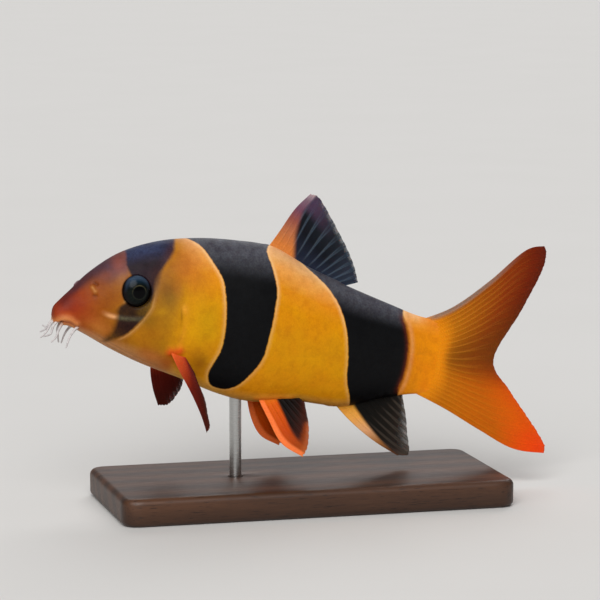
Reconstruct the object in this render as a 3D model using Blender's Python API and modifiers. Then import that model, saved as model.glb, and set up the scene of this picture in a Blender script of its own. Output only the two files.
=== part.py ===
"""Clown loach, a still life-size model of a young fish of 13 cm, held by a display stand.

The fish is drawn in its own frame: x runs from the snout to the tail, y to its right side, z up,
with the tip of the snout at 0, 0, 0. All lengths are millimetres. The last step of each piece
tips the fish head up, lifts it over the stand and turns millimetres into metres.
The origin of the finished model is the middle of the underside of the stand's base, and the
fish looks along -X. Flesh, fins, eyes and barbels are parted by cuts of GAP.
"""

import math

import bmesh
import bpy
import numpy as np
from mathutils import Vector

MM = 0.001
GAP = 0.3

# Stance
PITCH = math.radians(8.0)
SNOUT_PLACE = (-63.2, 0.0, 49.1)
TAIL_SWEEP = 3.0
SWEEP_START = 50.0
SWEEP_LENGTH = 85.0

# Flesh: one row for each station from the snout to the root of the tail fin, as
# back x, back z, belly x, belly z, half width, height of the widest point from belly to back.
STATIONS = np.array((
    (0.0, 0.6, 0.0, 0.6, 0.0, 0.40),
    (0.3, 2.7, 0.8, -0.9, 1.8, 0.40),
    (1.7, 4.6, 2.4, -1.4, 2.6, 0.38),
    (4.0, 7.3, 5.2, -1.9, 3.4, 0.38),
    (8.2, 12.2, 9.2, -3.5, 4.7, 0.38),
    (15.0, 17.6, 15.7, -6.3, 6.4, 0.40),
    (24.0, 21.4, 24.0, -9.2, 8.0, 0.42),
    (34.0, 23.3, 34.0, -11.8, 8.9, 0.46),
    (44.0, 23.8, 44.0, -14.7, 9.0, 0.48),
    (53.0, 23.2, 53.0, -15.9, 8.6, 0.50),
    (64.0, 18.7, 64.0, -14.8, 7.2, 0.50),
    (76.0, 14.9, 76.0, -14.9, 5.4, 0.50),
    (86.0, 12.0, 86.0, -12.2, 3.9, 0.50),
    (94.0, 9.8, 94.0, -10.4, 2.8, 0.50),
    (102.0, 9.0, 102.0, -9.4, 0.9, 0.50),
))
CROWN_ROUNDNESS = 1.9
KEEL_ROUNDNESS = 2.2
SIDES_AROUND = 32
RINGS_PER_STATION = 3
HEAD_END = 6.85
TRUNK_END = 12.0
CUT = 0.03

# Head
EYE_CENTRE = (19.2, 5.5, 9.3)
EYE_HALF = (3.8, 2.3, 4.2)
GILL_CENTRE = (22.8, 1.4)
GILL_HALF = (7.9, 8.3)
GILL_INNER = 5.0
MOUTH_CENTRE = (2.4, 0.0, -1.5)
MOUTH_HALF = (0.55, 1.9, 1.2)

# Fins. The root line runs inside the flesh from front to back, the margin is the free edge from
# the tip of the leading ray to the tip of the last ray, and lead and rear are the points that
# those two rays pass on their way out. Fins in the middle plane have x, z, the paired ones x, y, z.
MEDIAN_FINS = {
    "dorsal_fin": {
        "root": ((51.6, 21.8), (64.0, 16.6), (75.0, 13.4)),
        "lead": ((54.6, 27.1), (57.8, 33.1)),
        "margin": ((61.3, 37.4), (64.2, 36.3), (70.4, 28.1), (74.6, 21.8), (76.9, 16.6)),
        "rear": ((75.9, 15.0),),
    },
    "anal_fin": {
        "root": ((73.6, -13.4), (82.0, -11.0), (91.0, -8.4)),
        "lead": ((79.8, -18.6), (86.6, -23.0)),
        "margin": ((93.6, -26.3), (96.5, -25.6), (95.7, -20.8), (94.3, -15.6), (92.5, -10.4)),
        "rear": ((91.8, -9.4),),
    },
    "caudal_fin": {
        "root": ((94.5, 8.7), (99.5, 5.0), (100.5, 0.0), (99.5, -5.5), (94.5, -9.4)),
        "lead": ((103.0, 13.0), (111.8, 20.5), (120.4, 29.2)),
        "margin": (
            (126.4, 31.1), (126.0, 25.0), (121.8, 13.8), (115.8, 0.6),
            (121.6, -7.0), (129.0, -14.9), (135.7, -22.5),
        ),
        "rear": ((104.5, -13.2), (114.6, -17.8), (125.0, -22.0)),
    },
}
PAIRED_FINS = {
    "pectoral_fin_left": {
        "root": ((29.2, -7.2, -4.6), (30.5, -6.6, -4.2), (31.6, -6.0, -3.6)),
        "lead": ((31.3, -10.4, -8.6), (33.9, -14.2, -13.0), (36.3, -17.6, -17.8)),
        "margin": ((37.9, -19.8, -22.0), (39.0, -17.4, -20.6), (38.7, -12.6, -15.9), (35.6, -8.6, -9.2)),
        "rear": ((33.6, -7.4, -6.2),),
    },
    "pectoral_fin_right": {
        "root": ((29.0, 7.2, -4.6), (30.6, 6.8, -4.6), (32.0, 6.2, -4.4)),
        "lead": ((29.2, 11.6, -11.0), (31.4, 15.4, -17.0)),
        "margin": ((34.2, 18.5, -22.0), (37.0, 17.5, -20.9), (38.6, 13.6, -15.6), (36.6, 9.4, -8.6)),
        "rear": ((34.2, 7.8, -6.2),),
    },
    "pelvic_fin_left": {
        "root": ((53.4, -2.4, -13.4), (58.0, -2.6, -13.0), (62.5, -2.4, -12.6)),
        "lead": ((56.7, -4.9, -19.0), (60.4, -7.4, -24.6)),
        "margin": ((66.0, -9.0, -27.4), (67.2, -8.2, -24.6), (67.3, -6.4, -20.0), (66.2, -3.4, -14.6)),
        "rear": ((64.6, -2.9, -13.5),),
    },
    "pelvic_fin_right": {
        "root": ((52.0, 2.4, -13.4), (56.6, 2.6, -13.0), (61.5, 2.4, -12.6)),
        "lead": ((55.1, 5.0, -20.6), (58.9, 7.2, -25.4)),
        "margin": ((64.4, 8.4, -27.7), (65.8, 7.8, -24.8), (66.2, 6.0, -20.0), (65.4, 3.4, -14.6)),
        "rear": ((63.6, 2.9, -13.5),),
    },
}
FIN_THICKNESS = 0.8
FIN_RAYS = 15
FIN_ROWS = 8

# Barbels, from the root inside the flesh to the tip. The last row of each is how far the tip of
# the right one is held from the mirror image of the left one.
BARBELS = {
    "barbel_rostral_inner": ((1.0, -0.7, 0.0), (-0.1, -0.8, -1.9), (-1.0, -1.4, -3.7), (-2.4, -2.2, -5.1)),
    "barbel_rostral_outer": ((1.8, -1.5, -0.2), (0.5, -1.9, -1.9), (-0.1, -2.8, -3.8), (-2.0, -4.0, -4.5)),
    "barbel_maxillary": ((6.8, -2.2, -1.2), (5.4, -3.0, -2.6), (4.5, -3.5, -4.4), (3.9, -4.0, -6.7)),
    "barbel_mandibular": ((2.9, -1.2, -0.8), (2.0, -1.5, -2.9), (1.5, -1.9, -4.6), (0.4, -2.4, -5.9)),
}
RIGHT_TIP_SWING = {
    "barbel_rostral_inner": (0.6, 0.0, 0.9),
    "barbel_rostral_outer": (0.9, 0.0, 1.8),
    "barbel_maxillary": (0.3, 0.0, 0.0),
    "barbel_mandibular": (2.8, 0.0, -0.5),
}
BARBEL_THICKNESS = 0.56
BARBEL_POINTS = 7

# Stand, in the model's own frame
BASE_SIZE = (100.0, 46.0, 7.0)
BASE_BEVEL = 1.6
ROD_THICKNESS = 3.0
ROD_PLACE = (-16.6, 0.6)
ROD_SINK = 3.0


def clear_scene():
    """Removes everything that the scene holds at the start."""
    for obj in list(bpy.data.objects):
        bpy.data.objects.remove(obj, do_unlink=True)


def make_collection(name):
    collection = bpy.data.collections.new(name)
    bpy.context.scene.collection.children.link(collection)
    return collection


def make_material(name, colour, roughness, metallic=0.0):
    """A Principled surface of one colour, given as red, green and blue from 0 to 1."""
    material = bpy.data.materials.new(name)
    material.use_nodes = True
    shader = material.node_tree.nodes["Principled BSDF"]
    shader.inputs["Base Color"].default_value = (*colour, 1.0)
    shader.inputs["Roughness"].default_value = roughness
    shader.inputs["Metallic"].default_value = metallic
    material.diffuse_color = (*colour, 1.0)
    return material


def spline(knots, at):
    """Smooth curve through rows of knots, read at positions from 0 to the last row's number."""
    knots = np.asarray(knots, float)
    at = np.asarray(at, float)
    before = 2 * knots[0] - knots[1]
    after = 2 * knots[-1] - knots[-2]
    line = np.vstack([before, knots, after])
    row = np.clip(np.floor(at).astype(int), 0, len(knots) - 2)
    t = (at - row)[:, None]
    a, b, c, d = (line[row + k] for k in range(4))
    return 0.5 * (2 * b + (c - a) * t + (2 * a - 5 * b + 4 * c - d) * t**2 + (3 * b - a - 3 * c + d) * t**3)


def swept(points):
    """The tail curves to the fish's right, more with the square of the way past SWEEP_START."""
    points = np.array(points, float)
    way = np.clip((points[:, 0] - SWEEP_START) / SWEEP_LENGTH, 0.0, None)
    points[:, 1] += TAIL_SWEEP * way**2
    return points


def placed(points):
    """From the fish's own frame in millimetres to the model's frame in metres."""
    points = swept(points)
    x = points[:, 0] * math.cos(PITCH) + points[:, 2] * math.sin(PITCH)
    z = points[:, 2] * math.cos(PITCH) - points[:, 0] * math.sin(PITCH)
    return (np.stack([x, points[:, 1], z], axis=1) + SNOUT_PLACE) * MM


def add_object(name, mesh, collection, material=None):
    obj = bpy.data.objects.new(name, mesh)
    collection.objects.link(obj)
    if material:
        mesh.materials.append(material)
    return obj


def mark_cutter(obj):
    obj.hide_render = True
    obj.display_type = "WIRE"


def finish_mesh(bm, name):
    """Turns the faces outwards, shades round stretches smooth and returns the mesh."""
    bm.normal_update()
    bmesh.ops.recalc_face_normals(bm, faces=bm.faces)
    mesh = bpy.data.meshes.new(name)
    bm.to_mesh(mesh)
    bm.free()
    mesh.shade_smooth()
    mesh.set_sharp_from_angle(angle=math.radians(40))
    return mesh


def section(at, swell):
    """Rings of the flesh at the given stations, as an array of rings by sides by x, y, z.

    Each ring spans the line from the back to the belly. Its half width follows a superellipse,
    rounder or squarer above and below the widest point by the two roundness values.
    """
    row = spline(STATIONS, at)
    back, belly = row[:, 0:2], row[:, 2:4]
    down = belly - back
    depth = np.maximum(np.linalg.norm(down, axis=1, keepdims=True), 1e-6)
    down = down / depth
    back = back - down * swell
    belly = belly + down * swell
    half = np.maximum(row[:, 4:5], 0.02) + swell
    middle = belly + (back - belly) * row[:, 5:6]
    turn = np.linspace(0.0, 2 * math.pi, SIDES_AROUND, endpoint=False)
    up = np.cos(turn)[None, :]
    power = np.where(up > 0, 2 / CROWN_ROUNDNESS, 2 / KEEL_ROUNDNESS)
    rise = np.abs(up) ** power
    side = np.sign(np.sin(turn))[None, :] * np.abs(np.sin(turn)[None, :]) ** power * half
    reach = np.where(up[..., None] > 0, (back - middle)[:, None], (belly - middle)[:, None])
    line = middle[:, None] + reach * rise[..., None]
    return np.stack([line[..., 0], side, line[..., 1]], axis=-1)


def flesh_mesh(name, start, end, swell=0.0):
    """Closed length of the fish's body between two stations, with flat ends."""
    count = max(4, round((end - start) * RINGS_PER_STATION)) + 1
    at = np.linspace(start, end, count)
    if start == 0.0:
        at = at[1:]
        at = np.concatenate([at[:1] * 0.12, at[:1] * 0.5, at])
    rings = section(at, swell)
    if swell:
        rings[0, :, 0] -= swell
        rings[-1, :, 0] += swell
    bm = bmesh.new()
    loops = [[bm.verts.new(point) for point in placed(ring)] for ring in rings]
    for first, second in zip(loops, loops[1:]):
        for i in range(SIDES_AROUND):
            j = (i + 1) % SIDES_AROUND
            bm.faces.new((first[i], first[j], second[j], second[i]))
    bm.faces.new(loops[0])
    bm.faces.new(loops[-1])
    return finish_mesh(bm, name)


def ball_mesh(name, centre, half, swell=0.0):
    """Ellipsoid from a sphere primitive, with its half axes along x, y and z of the fish."""
    bm = bmesh.new()
    bmesh.ops.create_uvsphere(bm, u_segments=18, v_segments=10, radius=1.0)
    points = np.array([vert.co for vert in bm.verts])
    points = points[:, (0, 2, 1)] * (np.array(half) + swell) + centre
    for vert, point in zip(bm.verts, placed(points)):
        vert.co = point
    return finish_mesh(bm, name)


def gill_prism_mesh(name, side, swell):
    """Oval prism across the cheek, from GILL_INNER outwards, that parts a gill cover."""
    bm = bmesh.new()
    bmesh.ops.create_cone(bm, cap_ends=True, segments=32, radius1=1.0, radius2=1.0, depth=2.0)
    points = np.array([vert.co for vert in bm.verts])
    x = GILL_CENTRE[0] + points[:, 0] * (GILL_HALF[0] + swell)
    z = GILL_CENTRE[1] + points[:, 1] * (GILL_HALF[1] + swell)
    y = side * np.where(points[:, 2] > 0, 20.0, GILL_INNER - swell)
    for vert, point in zip(bm.verts, placed(np.stack([x, y, z], axis=1))):
        vert.co = point
    return finish_mesh(bm, name)


def add_boolean(obj, operation, other):
    """A live Boolean with the exact solver, which is the default."""
    modifier = obj.modifiers.new(operation.title(), "BOOLEAN")
    modifier.operation = operation
    modifier.object = other
    return modifier


def add_cutter(name, mesh, cutters):
    obj = add_object(name, mesh, cutters)
    mark_cutter(obj)
    return obj


def add_flesh(parts, cutters, skin):
    """Head, trunk and tail stalk, with the gill covers parted from the head."""
    head = add_object("head", flesh_mesh("head", 0.0, HEAD_END), parts, skin["head"])
    add_object("trunk", flesh_mesh("trunk", HEAD_END + CUT, TRUNK_END), parts, skin["trunk"])
    last = len(STATIONS) - 1
    add_object("tail_stalk", flesh_mesh("tail_stalk", TRUNK_END + CUT, last), parts, skin["tail"])
    mouth = add_cutter("cut_mouth", ball_mesh("cut_mouth", MOUTH_CENTRE, MOUTH_HALF), cutters)
    for word, side in (("left", -1), ("right", 1)):
        inside = add_cutter("keep_gill_" + word, gill_prism_mesh("keep_gill", side, 0.0), cutters)
        around = add_cutter("cut_gill_" + word, gill_prism_mesh("cut_gill", side, GAP), cutters)
        cover = add_object(
            "gill_cover_" + word, flesh_mesh("gill_cover", 0.0, HEAD_END), parts, skin["head"]
        )
        add_boolean(cover, "INTERSECT", inside)
        add_boolean(head, "DIFFERENCE", around)
        centre = np.array(EYE_CENTRE) * (1, side, 1)
        socket = add_cutter("cut_eye_" + word, ball_mesh("cut_eye", centre, EYE_HALF, GAP), cutters)
        add_boolean(head, "DIFFERENCE", socket)
        add_boolean(cover, "DIFFERENCE", socket)
        add_object("eye_" + word, ball_mesh("eye_" + word, centre, EYE_HALF), parts, skin["eye"])
    add_boolean(head, "DIFFERENCE", mouth)


def in_space(points):
    """Points of the middle plane get a y of 0, and others stay as they are."""
    points = np.asarray(points, float)
    if points.shape[1] == 2:
        return np.stack([points[:, 0], np.zeros(len(points)), points[:, 1]], axis=1)
    return points


def fin_grid(shape):
    """Fin rays from the root line to the margin: rays by rows by x, y, z.

    Straight rays join the root line to the margin. The first and the last ray then take up their
    own curves, and what they are moved by fades with the square of the way to the other edge.
    """
    root, margin = in_space(shape["root"]), in_space(shape["margin"])
    lead = np.vstack([root[:1], in_space(shape["lead"]), margin[:1]])
    rear = np.vstack([root[-1:], in_space(shape["rear"]), margin[-1:]])
    across = np.linspace(0.0, 1.0, FIN_RAYS)
    along = np.linspace(0.0, 1.0, FIN_ROWS)
    base = spline(root, across * (len(root) - 1))[:, None]
    edge = spline(margin, across * (len(margin) - 1))[:, None]
    out = along[None, :, None]
    grid = base * (1 - out) + edge * out
    lead_move = spline(lead, along * (len(lead) - 1)) - grid[0]
    rear_move = spline(rear, along * (len(rear) - 1)) - grid[-1]
    weight = across[:, None, None]
    return grid + lead_move[None] * (1 - weight) ** 2 + rear_move[None] * weight**2


def fin_mesh(name, points):
    """Open sheet of quads over a grid of points."""
    rays, rows = points.shape[:2]
    bm = bmesh.new()
    verts = [bm.verts.new(point) for point in placed(points.reshape(-1, 3))]
    for i in range(rays - 1):
        for j in range(rows - 1):
            first = i * rows + j
            bm.faces.new([verts[k] for k in (first, first + 1, first + rows + 1, first + rows)])
    return finish_mesh(bm, name)


def add_fin(name, shape, parts, envelope, material):
    """A fin as a sheet with thickness, cut clear of the flesh."""
    fin = add_object(name, fin_mesh(name, fin_grid(shape)), parts, material)
    solid = fin.modifiers.new("Thickness", "SOLIDIFY")
    solid.thickness = FIN_THICKNESS * MM
    solid.offset = 0.0
    add_boolean(fin, "DIFFERENCE", envelope)


def tube_mesh(name, points, thickness):
    """A round whisker along a smooth curve, as a mesh with welded ends."""
    knots = placed(spline(points, np.linspace(0, len(points) - 1, BARBEL_POINTS)))
    curve = bpy.data.curves.new(name, "CURVE")
    curve.dimensions = "3D"
    curve.bevel_depth = thickness * MM / 2
    curve.bevel_resolution = 2
    curve.use_fill_caps = True
    path = curve.splines.new("POLY")
    path.points.add(len(knots) - 1)
    for point, knot in zip(path.points, knots):
        point.co = (*knot, 1.0)
    guide = bpy.data.objects.new(name + "_guide", curve)
    bpy.context.scene.collection.objects.link(guide)
    mesh = bpy.data.meshes.new_from_object(guide.evaluated_get(bpy.context.evaluated_depsgraph_get()))
    bpy.data.objects.remove(guide, do_unlink=True)
    bm = bmesh.new()
    bm.from_mesh(mesh)
    bmesh.ops.remove_doubles(bm, verts=bm.verts, dist=0.00001)
    bpy.data.meshes.remove(mesh)
    return finish_mesh(bm, name)


def add_barbels(parts, envelope, material):
    for name, points in BARBELS.items():
        for word, side in (("left", 1), ("right", -1)):
            route = np.array(points) * (1, side, 1)
            if word == "right":
                way = np.linspace(0.0, 1.0, len(route))[:, None]
                route += way**2 * RIGHT_TIP_SWING[name]
            full = f"{name}_{word}"
            barbel = add_object(full, tube_mesh(full, route, BARBEL_THICKNESS), parts, material)
            add_boolean(barbel, "DIFFERENCE", envelope)


def add_stand(parts, envelope, wood, steel):
    """A block with rounded edges, and a rod that ends just under the belly."""
    bm = bmesh.new()
    bmesh.ops.create_cube(bm, size=1.0)
    size = Vector(BASE_SIZE) * MM
    bmesh.ops.scale(bm, vec=size, verts=bm.verts)
    bmesh.ops.translate(bm, vec=(0, 0, size.z / 2), verts=bm.verts)
    base = add_object("stand_base", finish_mesh(bm, "stand_base"), parts, wood)
    bevel = base.modifiers.new("Edges", "BEVEL")
    bevel.width = BASE_BEVEL * MM
    bevel.segments = 3

    bm = bmesh.new()
    foot, top = BASE_SIZE[2] - ROD_SINK, BASE_SIZE[2] + 34.0
    radius = ROD_THICKNESS / 2 * MM
    bmesh.ops.create_cone(
        bm, cap_ends=True, segments=24, radius1=radius, radius2=radius, depth=(top - foot) * MM
    )
    place = Vector((ROD_PLACE[0], ROD_PLACE[1], (top + foot) / 2)) * MM
    bmesh.ops.translate(bm, vec=place, verts=bm.verts)
    rod = add_object("stand_rod", finish_mesh(bm, "stand_rod"), parts, steel)
    add_boolean(rod, "DIFFERENCE", envelope)
    return base


def add_rod_hole(base, cutters):
    """The rod stands in a blind hole, GAP wider and deeper than the rod."""
    bm = bmesh.new()
    radius = (ROD_THICKNESS / 2 + GAP) * MM
    depth = 20.0
    bmesh.ops.create_cone(bm, cap_ends=True, segments=24, radius1=radius, radius2=radius, depth=depth * MM)
    height = BASE_SIZE[2] - ROD_SINK - GAP + depth / 2
    place = Vector((ROD_PLACE[0], ROD_PLACE[1], height)) * MM
    bmesh.ops.translate(bm, vec=place, verts=bm.verts)
    hole = add_cutter("cut_rod_hole", finish_mesh(bm, "cut_rod_hole"), cutters)
    add_boolean(base, "DIFFERENCE", hole)


def main():
    clear_scene()
    parts = make_collection("clown_loach")
    cutters = make_collection("cutters")
    skin = {
        "head": make_material("head_skin", (0.50, 0.24, 0.06), 0.35),
        "trunk": make_material("banded_skin", (0.72, 0.36, 0.03), 0.35),
        "tail": make_material("tail_skin", (0.06, 0.05, 0.05), 0.35),
        "eye": make_material("eye", (0.01, 0.012, 0.016), 0.08),
    }
    orange = make_material("orange_fin", (0.75, 0.20, 0.02), 0.4)
    dark = make_material("dark_fin", (0.05, 0.05, 0.07), 0.4)
    red = make_material("red_fin", (0.55, 0.07, 0.01), 0.4)
    pale = make_material("barbel_skin", (0.55, 0.50, 0.47), 0.4)
    add_flesh(parts, cutters, skin)
    last = len(STATIONS) - 1
    envelope = add_cutter("whole_flesh", flesh_mesh("whole_flesh", 0.0, last, GAP), cutters)
    for name, shape in MEDIAN_FINS.items():
        add_fin(name, shape, parts, envelope, orange if name == "caudal_fin" else dark)
    for name, shape in PAIRED_FINS.items():
        add_fin(name, shape, parts, envelope, red)
    add_barbels(parts, envelope, pale)
    wood = make_material("dark_wood", (0.05, 0.025, 0.015), 0.45)
    steel = make_material("brushed_steel", (0.6, 0.6, 0.6), 0.3, metallic=1.0)
    base = add_stand(parts, envelope, wood, steel)
    add_rod_hole(base, cutters)


main()
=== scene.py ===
"""Clown loach on its display stand: the looks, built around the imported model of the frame.

The fish is worked out in its own frame, in millimetres: x from the snout to the tail, y to its
right side, z up, with the tip of the snout at 0, 0, 0. Its outline, fins and barbels repeat the
driving sizes of the solid model. placed() tips it head up, lifts it over the stand and turns it
into metres, so every finished mesh is already in the frame's own place.
"""

import math
from functools import partial

import bpy
import numpy as np
from bpy.props import FloatProperty, FloatVectorProperty, IntProperty, PointerProperty
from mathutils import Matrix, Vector


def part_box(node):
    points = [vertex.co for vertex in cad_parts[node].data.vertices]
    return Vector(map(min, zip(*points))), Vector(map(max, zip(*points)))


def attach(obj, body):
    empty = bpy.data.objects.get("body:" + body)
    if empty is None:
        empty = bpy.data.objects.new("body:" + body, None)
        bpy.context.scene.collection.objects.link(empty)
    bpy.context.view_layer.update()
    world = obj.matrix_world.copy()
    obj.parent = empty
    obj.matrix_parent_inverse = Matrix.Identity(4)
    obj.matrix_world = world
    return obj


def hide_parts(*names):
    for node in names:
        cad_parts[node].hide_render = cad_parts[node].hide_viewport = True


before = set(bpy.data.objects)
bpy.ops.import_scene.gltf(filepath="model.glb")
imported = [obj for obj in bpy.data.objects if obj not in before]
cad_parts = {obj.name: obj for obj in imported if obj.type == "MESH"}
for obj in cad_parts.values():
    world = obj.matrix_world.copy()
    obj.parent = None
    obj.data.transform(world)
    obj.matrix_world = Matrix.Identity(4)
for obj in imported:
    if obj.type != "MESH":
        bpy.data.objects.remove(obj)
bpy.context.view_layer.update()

bl_info = {
    "name": "Clown Loach Display Model",
    "version": (1, 0, 0),
    "blender": (4, 5, 0),
    "location": "View3D > Sidebar > Loach",
    "description": "Builds the skin, eyes, fins, barbels and stand of a life-size clown loach",
    "category": "Add Mesh",
}

MM = 0.001
# Scale of a texture whose lumps are one millimetre wide
PER_MM = 1 / MM
BODY = "root"

# Stance, as in the solid model
PITCH = math.radians(8.0)
SNOUT_PLACE = (-63.2, 0.0, 49.1)
TAIL_SWEEP = 3.0
SWEEP_START = 50.0
SWEEP_LENGTH = 85.0

# Flesh, one row for each station from the snout to the root of the tail fin: back x, back z,
# belly x, belly z, half width, height of the widest point from belly to back.
STATIONS = np.array((
    (0.0, 0.6, 0.0, 0.6, 0.0, 0.40),
    (0.3, 2.7, 0.8, -0.9, 1.8, 0.40),
    (1.7, 4.6, 2.4, -1.4, 2.6, 0.38),
    (4.0, 7.3, 5.2, -1.9, 3.4, 0.38),
    (8.2, 12.2, 9.2, -3.5, 4.7, 0.38),
    (15.0, 17.6, 15.7, -6.3, 6.4, 0.40),
    (24.0, 21.4, 24.0, -9.2, 8.0, 0.42),
    (34.0, 23.3, 34.0, -11.8, 8.9, 0.46),
    (44.0, 23.8, 44.0, -14.7, 9.0, 0.48),
    (53.0, 23.2, 53.0, -15.9, 8.6, 0.50),
    (64.0, 18.7, 64.0, -14.8, 7.2, 0.50),
    (76.0, 14.9, 76.0, -14.9, 5.4, 0.50),
    (86.0, 12.0, 86.0, -12.2, 3.9, 0.50),
    (94.0, 9.8, 94.0, -10.4, 2.8, 0.50),
    (102.0, 9.0, 102.0, -9.4, 0.9, 0.50),
))
CROWN_ROUNDNESS = 1.9
KEEL_ROUNDNESS = 2.2
TAIL_END_ROUNDING = 0.9
# Between these two places the rings of the mesh go over from the head's spacing to the trunk's
SPACING_CHANGE = (31.0, 42.0)

# Eye, nostril and mouth, in x, y, z or x, z of the fish's left side
EYE_CENTRE = np.array((19.15, 5.5, 9.15))
EYE_HALF = np.array((3.62, 2.3, 4.0))
PUPIL_CENTRE = (19.5, 9.1)
NOSTRIL_FLAP = ((8.6, -3.7, 8.7), (8.9, -4.0, 8.3), (9.3, -4.2, 7.9))
NOSTRIL_UPPER = ((8.8, -3.4, 9.9), (9.6, -3.8, 9.6))
NOSTRIL_LOWER = ((8.9, -4.4, 6.9), (9.7, -4.6, 6.9))
CREST_FLAP = ((5.0, 0.5, 8.6), (5.6, 0.7, 9.2))
MOUTH_LINE = (
    (5.2, -2.5, -0.9), (3.9, -2.6, -0.7), (2.7, -2.2, -0.8), (2.0, -1.2, -1.1), (1.9, 0.0, -1.2),
)
UPPER_LIP = (
    (6.0, -2.9, -0.5), (4.2, -3.1, 0.2), (2.5, -2.6, 0.1), (1.3, -1.4, -0.4), (1.1, 0.0, -0.6),
)
LOWER_LIP = ((5.6, -1.9, -1.7), (4.3, -2.0, -1.5), (3.4, -1.6, -1.5), (3.1, -0.8, -1.6))
SUBORBITAL_GROOVE = ((11.6, 2.8), (13.8, 2.3), (17.0, 2.1), (21.6, 2.8))
CHEEK_RIDGE = ((23.9, 12.4), (23.2, 8.2), (22.0, 4.0), (19.0, -1.2), (16.4, -3.6))
GILL_COVER = (
    (20.0, 12.4), (24.4, 14.2), (28.2, 13.8), (30.5, 11.8), (30.8, 9.0), (30.0, 6.6), (30.4, 3.4),
    (30.9, -0.4), (30.5, -3.8), (28.4, -6.6), (24.0, -8.0), (18.0, -6.2), (15.6, -1.0), (16.0, 6.0),
)
GILL_CORNER = (30.2, 5.0)
THROAT_FOLDS = (1.4, 2.7, 4.1)
LATERAL_LINE = ((31.5, 5.6), (52.0, 3.4), (76.0, 1.0), (101.0, -0.2))

# Dark bands as closed outlines in x, z of the side view. Points above the back or below the
# belly carry an edge over the middle line to the other side.
BANDS = {
    "eye_band": (
        (15.9, 27.0), (16.2, 21.0), (16.2, 17.4), (16.3, 15.1), (17.3, 13.2), (18.6, 11.0), (17.6, 7.2),
        (15.2, 4.6), (15.1, 1.8), (14.6, -0.8), (13.2, -3.6), (13.6, -4.3), (15.5, -3.3), (17.8, -1.6),
        (19.9, 0.8), (21.4, 3.1), (22.6, 5.2), (23.1, 8.2), (23.6, 11.8), (24.9, 15.2), (27.0, 18.6),
        (27.8, 21.0), (27.4, 27.0),
    ),
    "shoulder_band": (
        (29.6, 27.0), (31.4, 22.9), (34.6, 21.4), (37.5, 18.1), (40.0, 14.4), (41.2, 9.7), (41.9, 3.2),
        (41.7, -2.3), (40.3, -6.6), (39.8, -9.6), (41.2, -12.1), (44.2, -12.9), (47.2, -11.9),
        (50.1, -8.4), (52.6, -3.5), (53.5, 2.9), (54.0, 8.7), (54.1, 13.6), (52.6, 18.4), (51.3, 22.0),
        (51.4, 27.0),
    ),
    "stalk_band": (
        (55.8, 27.0), (60.2, 20.8), (64.4, 17.8), (68.6, 14.5), (71.9, 9.9), (74.1, 4.3), (75.3, -2.3),
        (76.0, -7.4), (78.0, -12.7), (81.0, -19.0), (90.6, -17.0), (91.2, -9.6), (92.1, -5.4),
        (92.4, -1.0), (92.1, 3.0), (90.9, 7.2), (89.4, 10.2), (88.2, 17.0),
    ),
}
BAND_SOFTNESS = {"eye_band": 0.42, "shoulder_band": 0.2, "stalk_band": 0.2}

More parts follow.
